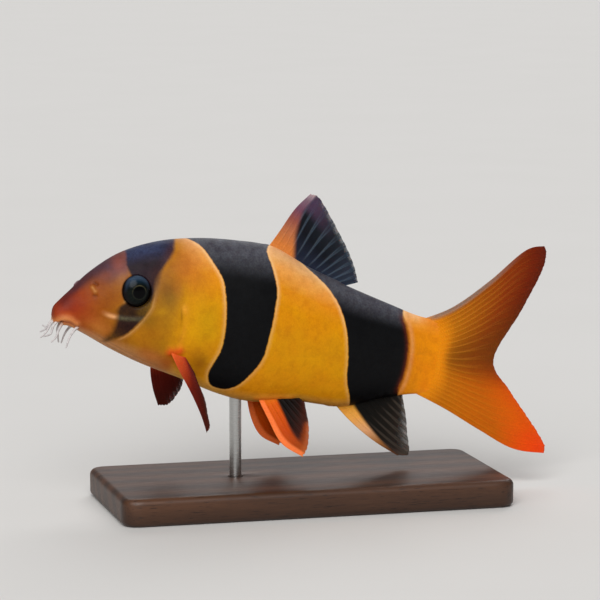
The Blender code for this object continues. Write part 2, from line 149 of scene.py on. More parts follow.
# Fins. The root line runs inside the flesh from front to back, the margin is the free edge from
# the tip of the leading ray to the tip of the last ray, and lead and rear are the points that
# those two rays pass on their way out. Rays is their number, stiff is how many at the front (and
# at the rear of the tail fin) stay unbranched, and fork is how far the branches of the others
# spread, in cells of one ray. Wave is how far the free edge swings sideways, and notch how far it
# falls back between the rays, as a share of the way out. Grid is the mesh's points across and out.
FINS = {
    "dorsal_fin": {
        "root": ((51.6, 21.8), (62.0, 17.6), (71.0, 14.7)),
        "lead": ((54.6, 27.1), (57.8, 33.1)),
        "margin": ((61.3, 37.4), (64.2, 36.3), (70.4, 28.1), (74.6, 21.8), (76.9, 16.6)),
        "rear": ((74.0, 15.6),),
        "rays": 13, "stiff": 2, "fork": 0.14, "wave": 0.5, "notch": 0.011, "look": "dorsal",
        "slot": "dark_fin", "grid": (330, 90),
    },
    "anal_fin": {
        "root": ((73.6, -13.4), (82.0, -11.0), (91.0, -8.4)),
        "lead": ((79.8, -18.6), (86.6, -23.0)),
        "margin": ((93.6, -26.3), (96.5, -25.6), (95.7, -20.8), (94.3, -15.6), (92.5, -10.4)),
        "rear": ((91.8, -9.4),),
        "rays": 10, "stiff": 2, "fork": 0.16, "wave": 0.5, "notch": 0.014, "look": "anal",
        "slot": "dark_fin", "grid": (260, 90),
    },
    "caudal_fin": {
        "root": ((94.5, 8.7), (99.5, 5.0), (100.5, 0.0), (99.5, -5.5), (94.5, -9.4)),
        "lead": ((103.0, 13.0), (111.8, 20.5), (120.4, 29.2)),
        "margin": (
            (126.4, 31.1), (126.0, 25.0), (121.8, 13.8), (115.8, 0.6),
            (121.6, -7.0), (129.0, -14.9), (135.7, -22.5),
        ),
        "rear": ((104.5, -13.2), (114.6, -17.8), (125.0, -22.0)),
        "rays": 23, "stiff": 3, "fork": 0.20, "wave": 0.7, "notch": 0.008, "look": "caudal",
        "slot": "orange_fin", "grid": (470, 100),
    },
    "pectoral_fin_left": {
        "root": ((29.2, -7.2, -4.6), (30.5, -6.6, -4.2), (31.6, -6.0, -3.6)),
        "lead": ((31.3, -10.4, -8.6), (33.9, -14.2, -13.0), (36.3, -17.6, -17.8)),
        "margin": ((37.9, -19.8, -22.0), (39.0, -17.4, -20.6), (38.7, -12.6, -15.9), (35.6, -8.6, -9.2)),
        "rear": ((33.6, -7.4, -6.2),),
        "rays": 13, "stiff": 1, "fork": 0.18, "wave": 0.3, "notch": 0.02, "look": "pectoral",
        "slot": "red_fin", "grid": (240, 80),
    },
    "pectoral_fin_right": {
        "root": ((29.0, 7.2, -4.6), (30.6, 6.8, -4.6), (32.0, 6.2, -4.4)),
        "lead": ((29.2, 11.6, -11.0), (31.4, 15.4, -17.0)),
        "margin": ((34.2, 18.5, -22.0), (37.0, 17.5, -20.9), (38.6, 13.6, -15.6), (36.6, 9.4, -8.6)),
        "rear": ((34.2, 7.8, -6.2),),
        "rays": 13, "stiff": 1, "fork": 0.18, "wave": 0.3, "notch": 0.02, "look": "pectoral",
        "slot": "red_fin", "grid": (240, 80),
    },
    "pelvic_fin_left": {
        "root": ((53.4, -2.4, -13.4), (58.0, -2.6, -13.0), (62.5, -2.4, -12.6)),
        "lead": ((56.7, -4.9, -19.0), (60.4, -7.4, -24.6)),
        "margin": ((66.0, -9.0, -27.4), (67.2, -8.2, -24.6), (67.3, -6.4, -20.0), (66.2, -3.4, -14.6)),
        "rear": ((64.6, -2.9, -13.5),),
        "rays": 9, "stiff": 1, "fork": 0.18, "wave": 0.3, "notch": 0.016, "look": "pelvic",
        "slot": "red_fin", "grid": (240, 80),
    },
    "pelvic_fin_right": {
        "root": ((52.0, 2.4, -13.4), (56.6, 2.6, -13.0), (61.5, 2.4, -12.6)),
        "lead": ((55.1, 5.0, -20.6), (58.9, 7.2, -25.4)),
        "margin": ((64.4, 8.4, -27.7), (65.8, 7.8, -24.8), (66.2, 6.0, -20.0), (65.4, 3.4, -14.6)),
        "rear": ((63.6, 2.9, -13.5),),
        "rays": 9, "stiff": 1, "fork": 0.18, "wave": 0.3, "notch": 0.016, "look": "pelvic",
        "slot": "red_fin", "grid": (240, 80),
    },
}

# The tips of the tail fin are rounded over this share of its width, by this share of its length
TIP_WIDTH = 0.07
TIP_ROUNDING = 0.045
# Way in millimetres over which the front and rear edges of a fin are rounded
EDGE_ROUNDING = 0.35

# Barbels of the left side, from the root inside the flesh to the tip, and how far the tip of the
# right one is held from the mirror image of the left one.
BARBELS = {
    "rostral_inner": ((1.0, -0.7, 0.0), (-0.1, -0.8, -1.9), (-1.0, -1.4, -3.7), (-2.4, -2.2, -5.1)),
    "rostral_outer": ((1.8, -1.5, -0.2), (0.5, -1.9, -1.9), (-0.1, -2.8, -3.8), (-2.0, -4.0, -4.5)),
    "maxillary": ((6.8, -2.2, -1.2), (5.4, -3.0, -2.6), (4.5, -3.5, -4.4), (3.9, -4.0, -6.7)),
    "mandibular": ((2.9, -1.2, -0.8), (2.0, -1.5, -2.9), (1.5, -1.9, -4.6), (0.4, -2.4, -5.9)),
}
RIGHT_TIP_SWING = {
    "rostral_inner": (0.6, 0.0, 0.9),
    "rostral_outer": (0.9, 0.0, 1.8),
    "maxillary": (0.3, 0.0, 0.0),
    "mandibular": (2.8, 0.0, -0.5),
}

# Stand in millimetres and camera in metres, in the model's own frame
ROD_PLACE = (-16.6, 0.6)
ROD_RADIUS = 1.5
ROD_SINK = 3.0
ROD_INTO_BELLY = 0.8
HOLE_RADIUS = 1.8
HOLE_BEVEL = 0.25
HOLE_CLEARANCE = 0.3
BLOCK_CORNER = 2.4
CAMERA_TARGET = (0.0, 0.0, 0.051)
CAMERA_DISTANCE = 0.8
CAMERA_AHEAD = math.radians(15.0)
CAMERA_ELEVATION = math.radians(8.0)
CAMERA_LENS = 192.0

# Meshes: how many rings, and how many points round each ring
EYE_GRID = (96, 128)
BARBEL_GRID = (60, 20)
ROD_GRID = (60, 64)
BLOCK_SIDES = 360
FLOOR_SIDES = 96


def linear(code):
    """An sRGB hex code as linear red, green and blue."""
    value = np.array([int(code[k:k + 2], 16) / 255 for k in (0, 2, 4)])
    return tuple(np.where(value <= 0.04045, value / 12.92, ((value + 0.055) / 1.055) ** 2.4))


def colour_property(name, description, code):
    return FloatVectorProperty(
        name=name, description=description, subtype="COLOR", size=3, min=0.0, max=1.0, default=linear(code)
    )


def length_property(name, description, millimetres):
    """A length setting, held in metres as Blender shows lengths."""
    return FloatProperty(
        name=name, description=description, default=millimetres * MM, min=0.0, unit="LENGTH", precision=5
    )


class LoachSkinSettings(bpy.types.PropertyGroup):
    head_spacing: length_property("Head spacing", "Distance between rings of the mesh on the head", 0.165)
    body_spacing: length_property("Body spacing", "Distance between rings of the mesh on the trunk", 0.42)
    sides: IntProperty(name="Sides", description="Points round each ring", default=216, min=32, max=220)
    scale_size: length_property("Scale size", "Width of one scale in the relief", 0.45)
    amber: colour_property("Amber", "Middle of the flank", "CE8E02")
    # Painted highlight: the pale peach on top of the back is light from above painted onto the orange
    back: colour_property("Back", "Peach of the back between the bands", "E6B484")
    belly: colour_property("Belly", "Lowest part of the flank", "D4900C")
    stalk: colour_property("Tail root", "Orange behind the last band", "E68A02")
    band: colour_property("Band", "Middle of the dark bands", "08090B")
    # Painted sheen: the slate blue is light from above reflected on the dark tops of the bands
    band_top_sheen: colour_property("Band top", "Slate blue where a band crosses the back", "56585E")
    fringe: colour_property("Fringe", "Thin pale line along the dark bands", "E8BE86")


class LoachEyeSettings(bpy.types.PropertyGroup):
    pupil_radius: length_property("Pupil radius", "Radius of the black pupil", 1.42)
    ring_radius: length_property("Ring radius", "Radius of the thin bright ring round the pupil", 1.72)
    iris: colour_property("Iris", "Dark green-black of the iris", "070A0A")
    teal: colour_property("Teal", "Teal of the iris above the pupil", "0A2232")
    ring: colour_property("Ring", "Olive gold of the ring", "585036")
    rim: colour_property("Rim", "Blue-grey outer ring of the eye", "334254")


class LoachFinSettings(bpy.types.PropertyGroup):
    web_thickness: length_property("Web thickness", "Thickness of the membrane near the body", 0.2)
    ray_thickness: length_property("Ray thickness", "Height that a ray adds near the body", 0.26)
    ray_width: length_property("Ray width", "Half width of a ray near the body", 0.24)
    clearness: FloatProperty(
        name="Clearness", description="How far the free edge of a membrane lets light through",
        default=0.55, min=0.0, max=1.0, subtype="FACTOR",
    )


class LoachBarbelSettings(bpy.types.PropertyGroup):
    root_radius: length_property("Root radius", "Radius of a barbel where it leaves the lip", 0.42)
    tip_radius: length_property("Tip radius", "Radius of a barbel at its tip", 0.18)
    colour: colour_property("Barbel", "Pale grey-white skin of the barbels", "C8C2C0")


class LoachStandSettings(bpy.types.PropertyGroup):
    edge: length_property("Edge", "Radius of the block's rounded edges", 1.6)
    wood_dark: colour_property("Dark wood", "Late growth of the walnut", "2A1A12")
    wood_light: colour_property("Light wood", "Early growth of the walnut", "5A3A26")
    steel: colour_property("Steel", "Brushed stainless steel", "B8B8B6")


class LoachStageSettings(bpy.types.PropertyGroup):
    floor: colour_property("Floor", "Plain pale floor", "D0CECB")
    key_strength: FloatProperty(
        name="Key", description="Strength of the soft main light", default=3.1, min=0.0
    )
    rear_strength: FloatProperty(
        name="Rear", description="Strength of the soft light behind", default=1.1, min=0.0
    )
    sky_strength: FloatProperty(
        name="Sky", description="Strength of the light from all round", default=0.24, min=0.0
    )
    softness: FloatProperty(
        name="Softness", description="Width of each light as seen from the fish",
        default=math.radians(44), min=0.0, max=math.pi, subtype="ANGLE",
    )


def spline(knots, at):
    """Catmull-Rom curve through rows of knots, read at positions from 0 to the last row's number."""
    knots = np.asarray(knots, float)
    at = np.asarray(at, float)
    line = np.vstack([2 * knots[0] - knots[1], knots, 2 * knots[-1] - knots[-2]])
    row = np.clip(np.floor(at).astype(int), 0, len(knots) - 2)
    t = (at - row)[..., None]
    a, b, c, d = (line[row + k] for k in range(4))
    return 0.5 * (2 * b + (c - a) * t + (2 * a - 5 * b + 4 * c - d) * t**2 + (3 * b - a - 3 * c + d) * t**3)


def smooth_line(knots, count):
    """Points at even steps of a Catmull-Rom curve through the knots."""
    return spline(knots, np.linspace(0, len(knots) - 1, count))


def smooth_outline(knots):
    """Points of a closed Catmull-Rom curve through the knots, seven for each knot."""
    ring = np.vstack([knots[-1:], knots, knots[:2]])
    return spline(ring, np.arange(len(knots) * 7) / 7 + 1)


def rise(value, low, high):
    """Smooth step: 0 below low, 1 above high, and 3t^2 - 2t^3 between them."""
    t = np.clip((value - low) / (high - low), 0.0, 1.0)
    return t * t * (3 - 2 * t)


def bump(value, width):
    """Bell curve: 1 where value is 0, falling as e to the minus square of value over width."""
    return np.exp(-((value / width) ** 2))


def placed(points):
    """From the fish's own frame in millimetres to the frame's metres.

    The tail is moved to the right by the square of the way past SWEEP_START, then the fish is
    turned head up by PITCH round its snout and the snout is moved to SNOUT_PLACE.
    """
    x, y, z = np.moveaxis(np.asarray(points, float), -1, 0)
    way = np.clip((x - SWEEP_START) / SWEEP_LENGTH, 0.0, None)
    y = y + TAIL_SWEEP * way**2
    ahead = x * math.cos(PITCH) + z * math.sin(PITCH)
    up = z * math.cos(PITCH) - x * math.sin(PITCH)
    return (np.stack([ahead, y, up], axis=-1) + SNOUT_PLACE) * MM


def grid_normals(grid, closed):
    """Unit normals of a grid of points: the cross product of its two tangents."""
    along = np.gradient(grid, axis=0)
    if closed:
        across = np.roll(grid, -1, axis=1) - np.roll(grid, 1, axis=1)
    else:
        across = np.gradient(grid, axis=1)
    normal = np.cross(across, along)
    return normal / np.maximum(np.linalg.norm(normal, axis=-1, keepdims=True), 1e-9)


def grid_quads(rows, columns, closed=False, first=0):
    """Quads over a grid numbered row by row; closed joins the last column to the first one."""
    number = first + np.arange(rows * columns).reshape(rows, columns)
    if closed:
        number = np.hstack([number, number[:, :1]])
    corners = number[:-1, :-1], number[:-1, 1:], number[1:, 1:], number[1:, :-1]
    return np.stack(corners, axis=-1).reshape(-1, 4)


def strip_quads(first, second):
    """Quads between two equally long rows of vertex numbers."""
    return np.stack([first[:-1], first[1:], second[1:], second[:-1]], axis=-1)


def fan(ring, tip):
    """Triangles from a closed ring of vertex numbers to one vertex."""
    return np.stack([ring, np.roll(ring, -1), np.full(len(ring), tip)], axis=-1)


def capped_rings(rows, columns):
    """Faces of closed rings numbered row by row, with a fan to a middle vertex at each end.

    The middle vertices of the first and the last ring are numbered next after the rings.
    """
    size = rows * columns
    ring = np.arange(columns)
    ends = np.vstack([fan(ring[::-1], size), fan(size - columns + ring, size + 1)])
    return [grid_quads(rows, columns, closed=True), ends]


def unit_circle(count):
    """Points of a circle of radius 1 at even turns, as x and y."""
    turn = np.linspace(0, 2 * math.pi, count, endpoint=False)
    return np.stack([np.cos(turn), np.sin(turn)], axis=1)


def volume(points, faces):
    """Six times the signed volume inside the faces, from the triangles of each face's fan."""
    total = 0.0
    for block in faces:
        for k in range(1, block.shape[1] - 1):
            a, b, c = points[block[:, 0]], points[block[:, k]], points[block[:, k + 1]]
            total += np.einsum("ij,ij->", a, np.cross(b, c))
    return total


def add_piece(name, points, faces, material, nodes):
    """A closed smooth mesh that rides on the body and stands for the named solids.

    points is an array of places in metres, and faces a list of arrays of vertex numbers, one
    array for each number of corners. A mesh whose signed volume is negative is turned over.
    """
    points = np.asarray(points, float).reshape(-1, 3)
    if volume(points, faces) < 0:
        faces = [block[:, ::-1] for block in faces]
    corners = np.concatenate([block.ravel() for block in faces]).astype(np.int32)
    sizes = np.concatenate([np.full(len(block), block.shape[1]) for block in faces])
    mesh = bpy.data.meshes.new(name)
    mesh.vertices.add(len(points))
    mesh.vertices.foreach_set("co", points.astype(np.float32).ravel())
    mesh.loops.add(len(corners))
    mesh.loops.foreach_set("vertex_index", corners)
    mesh.polygons.add(len(sizes))
    starts = np.concatenate([[0], np.cumsum(sizes)[:-1]])
    mesh.polygons.foreach_set("loop_start", starts.astype(np.int32))
    mesh.update(calc_edges=True)
    if mesh.validate():
        raise RuntimeError(f"{name} has faces that Blender had to mend")
    mesh.shade_smooth()
    mesh.materials.append(material)
    piece = bpy.data.objects.new(name, mesh)
    bpy.context.scene.collection.objects.link(piece)
    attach(piece, BODY)
    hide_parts(*nodes)
    return piece


def add_layer(piece, kind, name, values):
    """One number, colour or vector for each vertex, for a material to read."""
    field = {"FLOAT": "value", "FLOAT_COLOR": "color", "FLOAT_VECTOR": "vector"}[kind]
    layer = piece.data.attributes.new(name, kind, "POINT")
    layer.data.foreach_set(field, np.asarray(values, np.float32).ravel())


def add_values(piece, **layers):
    """Named layers of one number for each vertex."""
    for name, values in layers.items():
        add_layer(piece, "FLOAT", name, values)


def add_colours(piece, **layers):
    """Named layers of one linear colour for each vertex."""
    for name, colours in layers.items():
        rows = np.hstack([np.clip(colours, 0, 1), np.ones((len(colours), 1))])
        add_layer(piece, "FLOAT_COLOR", name, rows)


def fill(socket, value):
    """Sets a socket to a plain value, or links another node's output to it."""
    if isinstance(value, bpy.types.NodeSocket):
        socket.id_data.links.new(value, socket)
    elif socket.type == "RGBA":
        socket.default_value = (*value[:3], 1.0)
    else:
        socket.default_value = value


def add_node(tree, kind, inputs=(), output=None, **settings):
    """Adds a node and gives its first output in use, or the output that is named.

    Inputs go to the sockets in use in their order, or by name if they are a dict.
    """
    node = tree.nodes.new("ShaderNode" + kind)
    for key, value in settings.items():
        setattr(node, key, value)
    if isinstance(inputs, dict):
        pairs = [(node.inputs[key], value) for key, value in inputs.items()]
    else:
        pairs = list(zip([socket for socket in node.inputs if socket.enabled], inputs))
    for socket, value in pairs:
        fill(socket, value)
    if output:
        return node.outputs[output]
    return next(socket for socket in node.outputs if socket.enabled)


def new_material(name):
    """An empty Principled material, its shader, and the function that adds nodes to it."""
    material = bpy.data.materials.new(name)
    material.use_nodes = True
    tree = material.node_tree
    return material, tree.nodes["Principled BSDF"], partial(add_node, tree)


def set_shader(shader, **inputs):
    """Fills a shader's sockets, named with underscores."""
    for key, value in inputs.items():
        fill(shader.inputs[key.replace("_", " ")], value)


def stained(node, colour, *stains):
    """A colour multiplied by others, each as strongly as its pattern times its share."""
    for pattern, share, dye in stains:
        weight = node("Math", (pattern, share), operation="MULTIPLY")
        colour = node("Mix", (weight, colour, dye), data_type="RGBA", blend_type="MULTIPLY")
    return colour


def ring_rows(settings):
    """Positions of the rings between the stations, even along the back and flank.

    The way from one ring to the next is head_spacing up to the gill covers and grows to
    body_spacing behind them. It is added up in fine steps. The first ring lies a little off the
    tip of the snout, where the rings would shrink to a point.
    """
    fine_steps, first_ring = 6000, 0.6
    at = np.linspace(0.0, len(STATIONS) - 1, fine_steps)
    row = spline(STATIONS, at)
    step = np.linalg.norm(np.diff(row[:, (0, 1, 4)], axis=0), axis=1)
    spacing = np.array((settings.head_spacing, settings.body_spacing)) / MM
    count = np.concatenate([[0], np.cumsum(step / np.interp(row[1:, 0], SPACING_CHANGE, spacing))])
    return np.interp(np.linspace(first_ring, count[-1], round(count[-1])), count, at)


def flesh_rings(at, sides):
    """Rings of the flesh, and the height of each point from belly (0) to back (1).

    Each ring spans the line from the back to the belly. Its half width follows a superellipse,
    rounder or squarer above and below the widest point by the two roundness values, and thins
    by a smooth step towards the tail fin, so that the rays rise out of the flesh.
    """
    row = spline(STATIONS, at)
    back, belly = row[:, 0:2], row[:, 2:4]
    middle = belly + (back - belly) * row[:, 5:6]
    turn = np.linspace(0.0, 2 * math.pi, sides, endpoint=False)
    up = np.cos(turn)[None, :]
    power = np.where(up > 0, 2 / CROWN_ROUNDNESS, 2 / KEEL_ROUNDNESS)
    part = np.abs(up) ** power
    half = np.maximum(row[:, 4:5] * (1 - 0.94 * rise(row[:, 0:1], 87.0, 102.0)), 0.02)
    side = np.sign(np.sin(turn))[None, :] * np.abs(np.sin(turn)[None, :]) ** power * half
    reach = np.where(up[..., None] > 0, (back - middle)[:, None], (belly - middle)[:, None])
    line = middle[:, None] + reach * part[..., None]
    height = row[:, 5:6] + np.where(up > 0, 1 - row[:, 5:6], -row[:, 5:6]) * part
    return np.stack([line[..., 0], side, line[..., 1]], axis=-1), height


def girth(rings):
    """Way round each ring from the middle of the flank, positive towards the back."""
    step = np.linalg.norm(np.diff(rings, axis=1, append=rings[:, :1]), axis=-1)
    count = rings.shape[1]
    way = np.concatenate([np.zeros((len(rings), 1)), np.cumsum(step, axis=1)[:, :-1]], axis=1)
    whole = step.sum(axis=1, keepdims=True)
    way = np.minimum(way, whole - way)
    return way[:, count // 4][:, None] - way


def line_distance(points, line):
    """Least distance of points from an open line, in as many dimensions as they both have."""
    best = np.full(len(points), np.inf)
    for start, end in zip(line, line[1:]):
        run = end - start
        t = np.clip((points - start) @ run / max(run @ run, 1e-12), 0, 1)
        best = np.minimum(best, ((points - start - t[:, None] * run) ** 2).sum(axis=1))
    return np.sqrt(best)


def outline_distance(points, outline):
    """Distance of points from a closed outline, positive inside it.

    It is the least distance from the edges, with its sign from how often a ray to the right of
    the point crosses the outline.
    """
    loop = np.vstack([outline, outline[:1]])
    inside = np.zeros(len(points), bool)
    for start, end in zip(loop, loop[1:]):
        if start[1] == end[1]:
            continue
        spans = (start[1] > points[:, 1]) != (end[1] > points[:, 1])
        cross = start[0] + (points[:, 1] - start[1]) * (end[0] - start[0]) / (end[1] - start[1])
        inside ^= spans & (points[:, 0] < cross)
    return np.where(inside, 1.0, -1.0) * line_distance(points, loop)


class Flesh:
    """The plain body surface with what the relief and the colours are measured on.

    points are its places, flat the two coordinates x and girth of its unrolled side, and height
    goes from the belly (0) to the back (1).
    """

    def __init__(self, at, sides):
        self.rings, height = flesh_rings(at, sides)
        self.shape = self.rings.shape[:2]
        self.normals = grid_normals(self.rings, closed=True)
        way_out = self.rings - self.rings.mean(axis=1, keepdims=True)
        if (way_out * self.normals).sum() < 0:
            self.normals = -self.normals
        self.points = self.rings.reshape(-1, 3)
        self.height = height.ravel()
        self.way = girth(self.rings).ravel()
        self.flat = np.stack([self.points[:, 0], self.way], axis=1)
        self.left = np.flatnonzero(self.points[:, 1] <= 0.0)

    def unrolled(self, outline):
        """Side-view x, z points as x and girth. What is past the back or belly goes on straight."""
        outline = np.asarray(outline, float)
        side = self.points[self.left]
        gaps = (side[:, 0][:, None] - outline[:, 0]) ** 2 + (side[:, 2][:, None] - outline[:, 1]) ** 2
        near = np.argmin(gaps, axis=0)
        past = outline[:, 1] - side[near, 2]
        way = self.way[self.left][near]
        over = (np.abs(way) > 0.5) & (np.abs(past) > 0.3)
        return np.stack([outline[:, 0], way + np.where(over, past, 0.0)], axis=1)

    def on_skin(self, places):
        """The nearest points of the surface to some places."""
        places = np.asarray(places, float)
        near = [np.argmin(((self.points - place) ** 2).sum(axis=1)) for place in places]
        return self.points[near]

    def side_line(self, knots):
        """Distance from a smooth line that is drawn in the side view, on both sides."""
        return line_distance(self.flat, smooth_line(self.unrolled(knots), 40))

    def around(self, knots):
        """Distance in space from a smooth line on the left of the skin and from its mirror image."""
        line = self.on_skin(smooth_line(np.asarray(knots, float), 24))
        mirrored = self.points * (1, -1, 1)
        return np.minimum(line_distance(self.points, line), line_distance(mirrored, line))

    def above(self, knots):
        """Distance in space from a line on one side of the crest only."""
        return line_distance(self.points, self.on_skin(smooth_line(np.asarray(knots, float), 6)))

    def from_root(self, fin):
        """Distance in space from the line where a fin leaves the skin."""
        return line_distance(self.points, self.on_skin(in_space(smooth_line(fin["root"], 30))))


def eye_ovals(points):
    """How far out of the eye's oval each point is, in the side view: 1 on the oval itself."""
    dx = (points[:, 0] - EYE_CENTRE[0]) / EYE_HALF[0]
    dz = (points[:, 2] - EYE_CENTRE[2]) / EYE_HALF[2]
    return np.hypot(dx, dz)


def socket_line(flesh, oval, width):
    """Bell curve across an oval round each eye, faint above the eye and gone on the crown."""
    flank = rise(np.abs(flesh.points[:, 1]), 2.0, 3.0)
    above = rise(flesh.points[:, 2] - EYE_CENTRE[2], 1.0, 3.4)
    return flank * (1 - 0.8 * above) * bump(eye_ovals(flesh.points) - oval, width)


# Ridges of the head that are drawn in space on both sides: line, height and half width
HEAD_RIDGES = ((UPPER_LIP, 0.36, 0.75), (LOWER_LIP, 0.14, 0.6), (NOSTRIL_FLAP, 0.36, 0.46))
# Swelling of the flesh round the roots of the fins: height and half width
ROOT_SWELL = {
    "dorsal": (0.25, 0.9), "anal": (0.25, 0.9), "pectoral": (0.5, 1.2), "pelvic": (0.25, 0.9),
}


def face_relief(flesh):
    """Height of the eye sockets, lips, mouth slit, nostrils and lines of the cheek, and shade painted in
    their creases.
    """
    x, y, _ = flesh.points.T
    oval = eye_ovals(flesh.points)
    bed = 0.05 * bump(oval - 1.05, 0.08) - 2.6 * (1 - rise(oval, 0.84, 0.97))
    raised = rise(np.abs(y), 2.0, 3.0) * bed
    crease_shade = socket_line(flesh, 0.97, 0.06)

    slit = bump(flesh.around(MOUTH_LINE), 0.42)
    open_part = 1 - 0.97 * rise(x, 2.0, 3.4)
    raised -= 0.9 * open_part * slit
    crease_shade += open_part**2 * slit
    for line, height, width in HEAD_RIDGES:
        raised += height * bump(flesh.around(line), width)
    raised += 0.3 * bump(flesh.above(CREST_FLAP), 0.4)
    for pit in (NOSTRIL_UPPER, NOSTRIL_LOWER):
        gap = flesh.around(pit)
        raised -= 0.2 * bump(gap, 0.36)
        crease_shade += 0.5 * bump(gap, 0.32)

    groove = flesh.side_line(SUBORBITAL_GROOVE)
    raised += 0.10 * bump(groove, 0.45) - 0.06 * bump(groove - 0.9, 0.35)
    raised += 0.06 * bump(flesh.side_line(CHEEK_RIDGE), 0.45)
    return raised, crease_shade


def gill_relief(flesh):
    """Height of the gill cover's rear edge, its corner and the folds of the throat, and shade painted in
    their creases.
    """
    x, _, z = flesh.points.T
    plate = outline_distance(flesh.flat, smooth_outline(flesh.unrolled(GILL_COVER)))
    edge = rise(x, 22.0, 27.0) * (0.2 + 0.8 * patch(x, z, (31.0, 2.5), (3.0, 4.5)))
    raised = edge * 0.28 * rise(plate, -0.9, 0.8) * (1 - rise(plate, 0.8, 7.0))
    raised += 0.22 * patch(x, z, (31.2, 6.0), (0.7, 1.0), 20)
    corner = patch(x, z, GILL_CORNER, (1.3, 1.7))
    crease_shade = edge * (0.04 + 0.5 * corner) * bump(plate + 0.3, 0.3)

    below = flesh.way - flesh.way.reshape(flesh.shape).min(axis=1).repeat(flesh.shape[1])
    throat = rise(x, 9.0, 13.0) * (1 - rise(x, 25.0, 30.0))
    for gap in THROAT_FOLDS:
        raised -= 0.10 * throat * bump(below - gap, 0.22)
        crease_shade += 0.3 * throat * bump(below - gap, 0.2)
    return raised, crease_shade


def skin_relief(flesh):
    """Height in millimetres that each point is raised along its normal, and how much shade is painted in its
    creases.

    Each feature is a bell curve or a smooth step of the distance from a line on the skin.
    """
    face, face_crease_shade = face_relief(flesh)
    gill, gill_crease_shade = gill_relief(flesh)
    raised = face + gill - 0.05 * bump(flesh.side_line(LATERAL_LINE), 0.22)
    ray_turns = 2 * math.pi * (FINS["caudal_fin"]["rays"] - 1)
    raised += 0.02 * rise(flesh.points[:, 0], 96.0, 101.0) * np.cos(ray_turns * flesh.height)
    for fin in FINS.values():
        if fin["look"] in ROOT_SWELL:
            height, width = ROOT_SWELL[fin["look"]]
            raised += height * bump(flesh.from_root(fin), width)
    return raised, np.clip(face_crease_shade + gill_crease_shade, 0, 1)


def tint(code):
    """A colour as linear red, green and blue, from a hex code or from a panel setting."""
    return np.array(linear(code) if isinstance(code, str) else code)


def blend(first, second, mask):
    """From the first rows of colour to the second ones, as far as the mask says."""
    return first + (second - first) * mask[:, None]


def lay(paint, code, mask):
    """Lays one colour over the paint, as strongly as the mask says."""
    return blend(paint, tint(code), mask)


def ramp(value, stops):
    """Colours along a value, from stops of value and colour."""
    places = [place for place, _ in stops]
    colours = np.array([tint(code) for _, code in stops])
    return np.stack([np.interp(value, places, colours[:, k]) for k in range(3)], axis=1)


def patch(x, z, centre, half, tilt=0.0):
    """Soft oval in the side view: a bell curve of the distance from its centre, in half lengths."""
    turn = math.radians(tilt)
    dx, dz = x - centre[0], z - centre[1]
    along = dx * math.cos(turn) + dz * math.sin(turn)
    across = dz * math.cos(turn) - dx * math.sin(turn)
    return np.exp(-((along / half[0]) ** 2 + (across / half[1]) ** 2))


# Colours of the cheek, up to the gill cover, and of the brow, up to the eye band, by x
CHEEK = (
    (0.0, "7E321C"), (2.0, "983410"), (5.0, "8E340C"), (8.0, "90420A"), (12.0, "905008"),
    (16.0, "985E0A"), (21.0, "A26A0A"), (27.0, "A67208"), (32.0, "C08404"),
)
BROW = (
    (0.0, "52241F"), (4.0, "42262E"), (8.0, "3A2A38"), (12.0, "42364A"), (14.5, "5A3C48"), (16.5, "6E464A"),
)
# Soft patches on the head and flanks: what they are, centre, half lengths, tilt, colour, strength
SKIN_PATCHES = (
    ("red side of the snout", (4.2, 2.6), (3.4, 2.4), 40, "8E2A08", 0.75),
    ("dark top of the snout", (2.6, 4.6), (2.2, 1.6), 45, "60221F", 0.85),
    ("orange over the lip", (3.4, 1.2), (2.0, 0.9), 10, "B04A12", 0.7),
    ("ochre above the nostril", (10.0, 9.6), (3.0, 1.8), 35, "84400C", 0.6),
    ("ochre before the eye", (12.8, 7.4), (3.0, 2.6), 0, "8A4A02", 0.7),
    ("rosy spot before the crest", (11.6, 12.0), (1.8, 1.1), 30, "8E4A30", 0.5),
    ("red cheek", (8.6, 0.9), (2.6, 1.3), -20, "8E3410", 0.7),
    ("pink before the eye band", (14.4, 15.0), (1.6, 2.4), 0, "84483E", 0.75),
    ("tan before the eye", (15.4, 11.6), (1.2, 1.6), -30, "9C6838", 0.6),
    ("pale side of the jaw", (11.4, -0.8), (4.0, 1.9), -22, "B87230", 0.7),
    ("smudge behind the eye", (26.0, 10.4), (1.3, 1.1), 50, "7C4A12", 0.6),
    ("dull upper gill cover", (27.0, 9.8), (3.2, 4.6), 0, "7C5818", 0.8),
    ("tan fold behind the eye", (23.7, 11.0), (0.9, 3.4), -8, "80603C", 0.75),
    ("amber nape", (34.4, 13.4), (2.6, 4.0), 0, "B87A10", 0.6),
    ("yellow fleck on the gill cover", (25.6, 5.0), (1.6, 0.9), 30, "B88608", 0.5),
    ("orange gill cover", (29.0, 11.0), (1.2, 2.2), 10, "A4641C", 0.5),
    ("olive behind the cheek ridge", (22.6, 2.6), (2.0, 2.4), 50, "7E5808", 0.6),
    ("yellow cheek", (20.6, -1.6), (3.2, 1.6), -35, "B4760A", 0.6),
    ("pink lower gill cover", (25.0, -6.4), (3.6, 1.8), -12, "B46C34", 0.7),
    ("red before the pectoral fin", (29.4, -7.6), (2.0, 2.2), 0, "A04C16", 0.7),
    ("corner of the gill cover", (31.3, 6.2), (0.8, 1.2), 20, "E8A030", 0.6),
    ("fold above the pectoral fin", (31.4, -0.6), (0.7, 4.6), -6, "DC941E", 0.5),
    ("warm nape", (30.0, 17.0), (3.8, 4.6), 0, "AA6210", 0.8),
    ("dark flank behind the pectoral fin", (37.0, -6.6), (2.8, 3.6), 20, "864A02", 0.85),
    ("yellow shoulder", (37.6, 2.6), (3.6, 7.0), 0, "C09200", 0.85),
    ("yellow flank before the rear band", (66.0, 0.0), (5.0, 7.0), 0, "D29200", 0.5),
)

# Tint of the skin round the roots of the paired fins: colour, width and strength
ROOT_TINT = {"pectoral": ("D24C18", 1.0, 0.85), "pelvic": ("D6741A", 0.8, 0.6)}


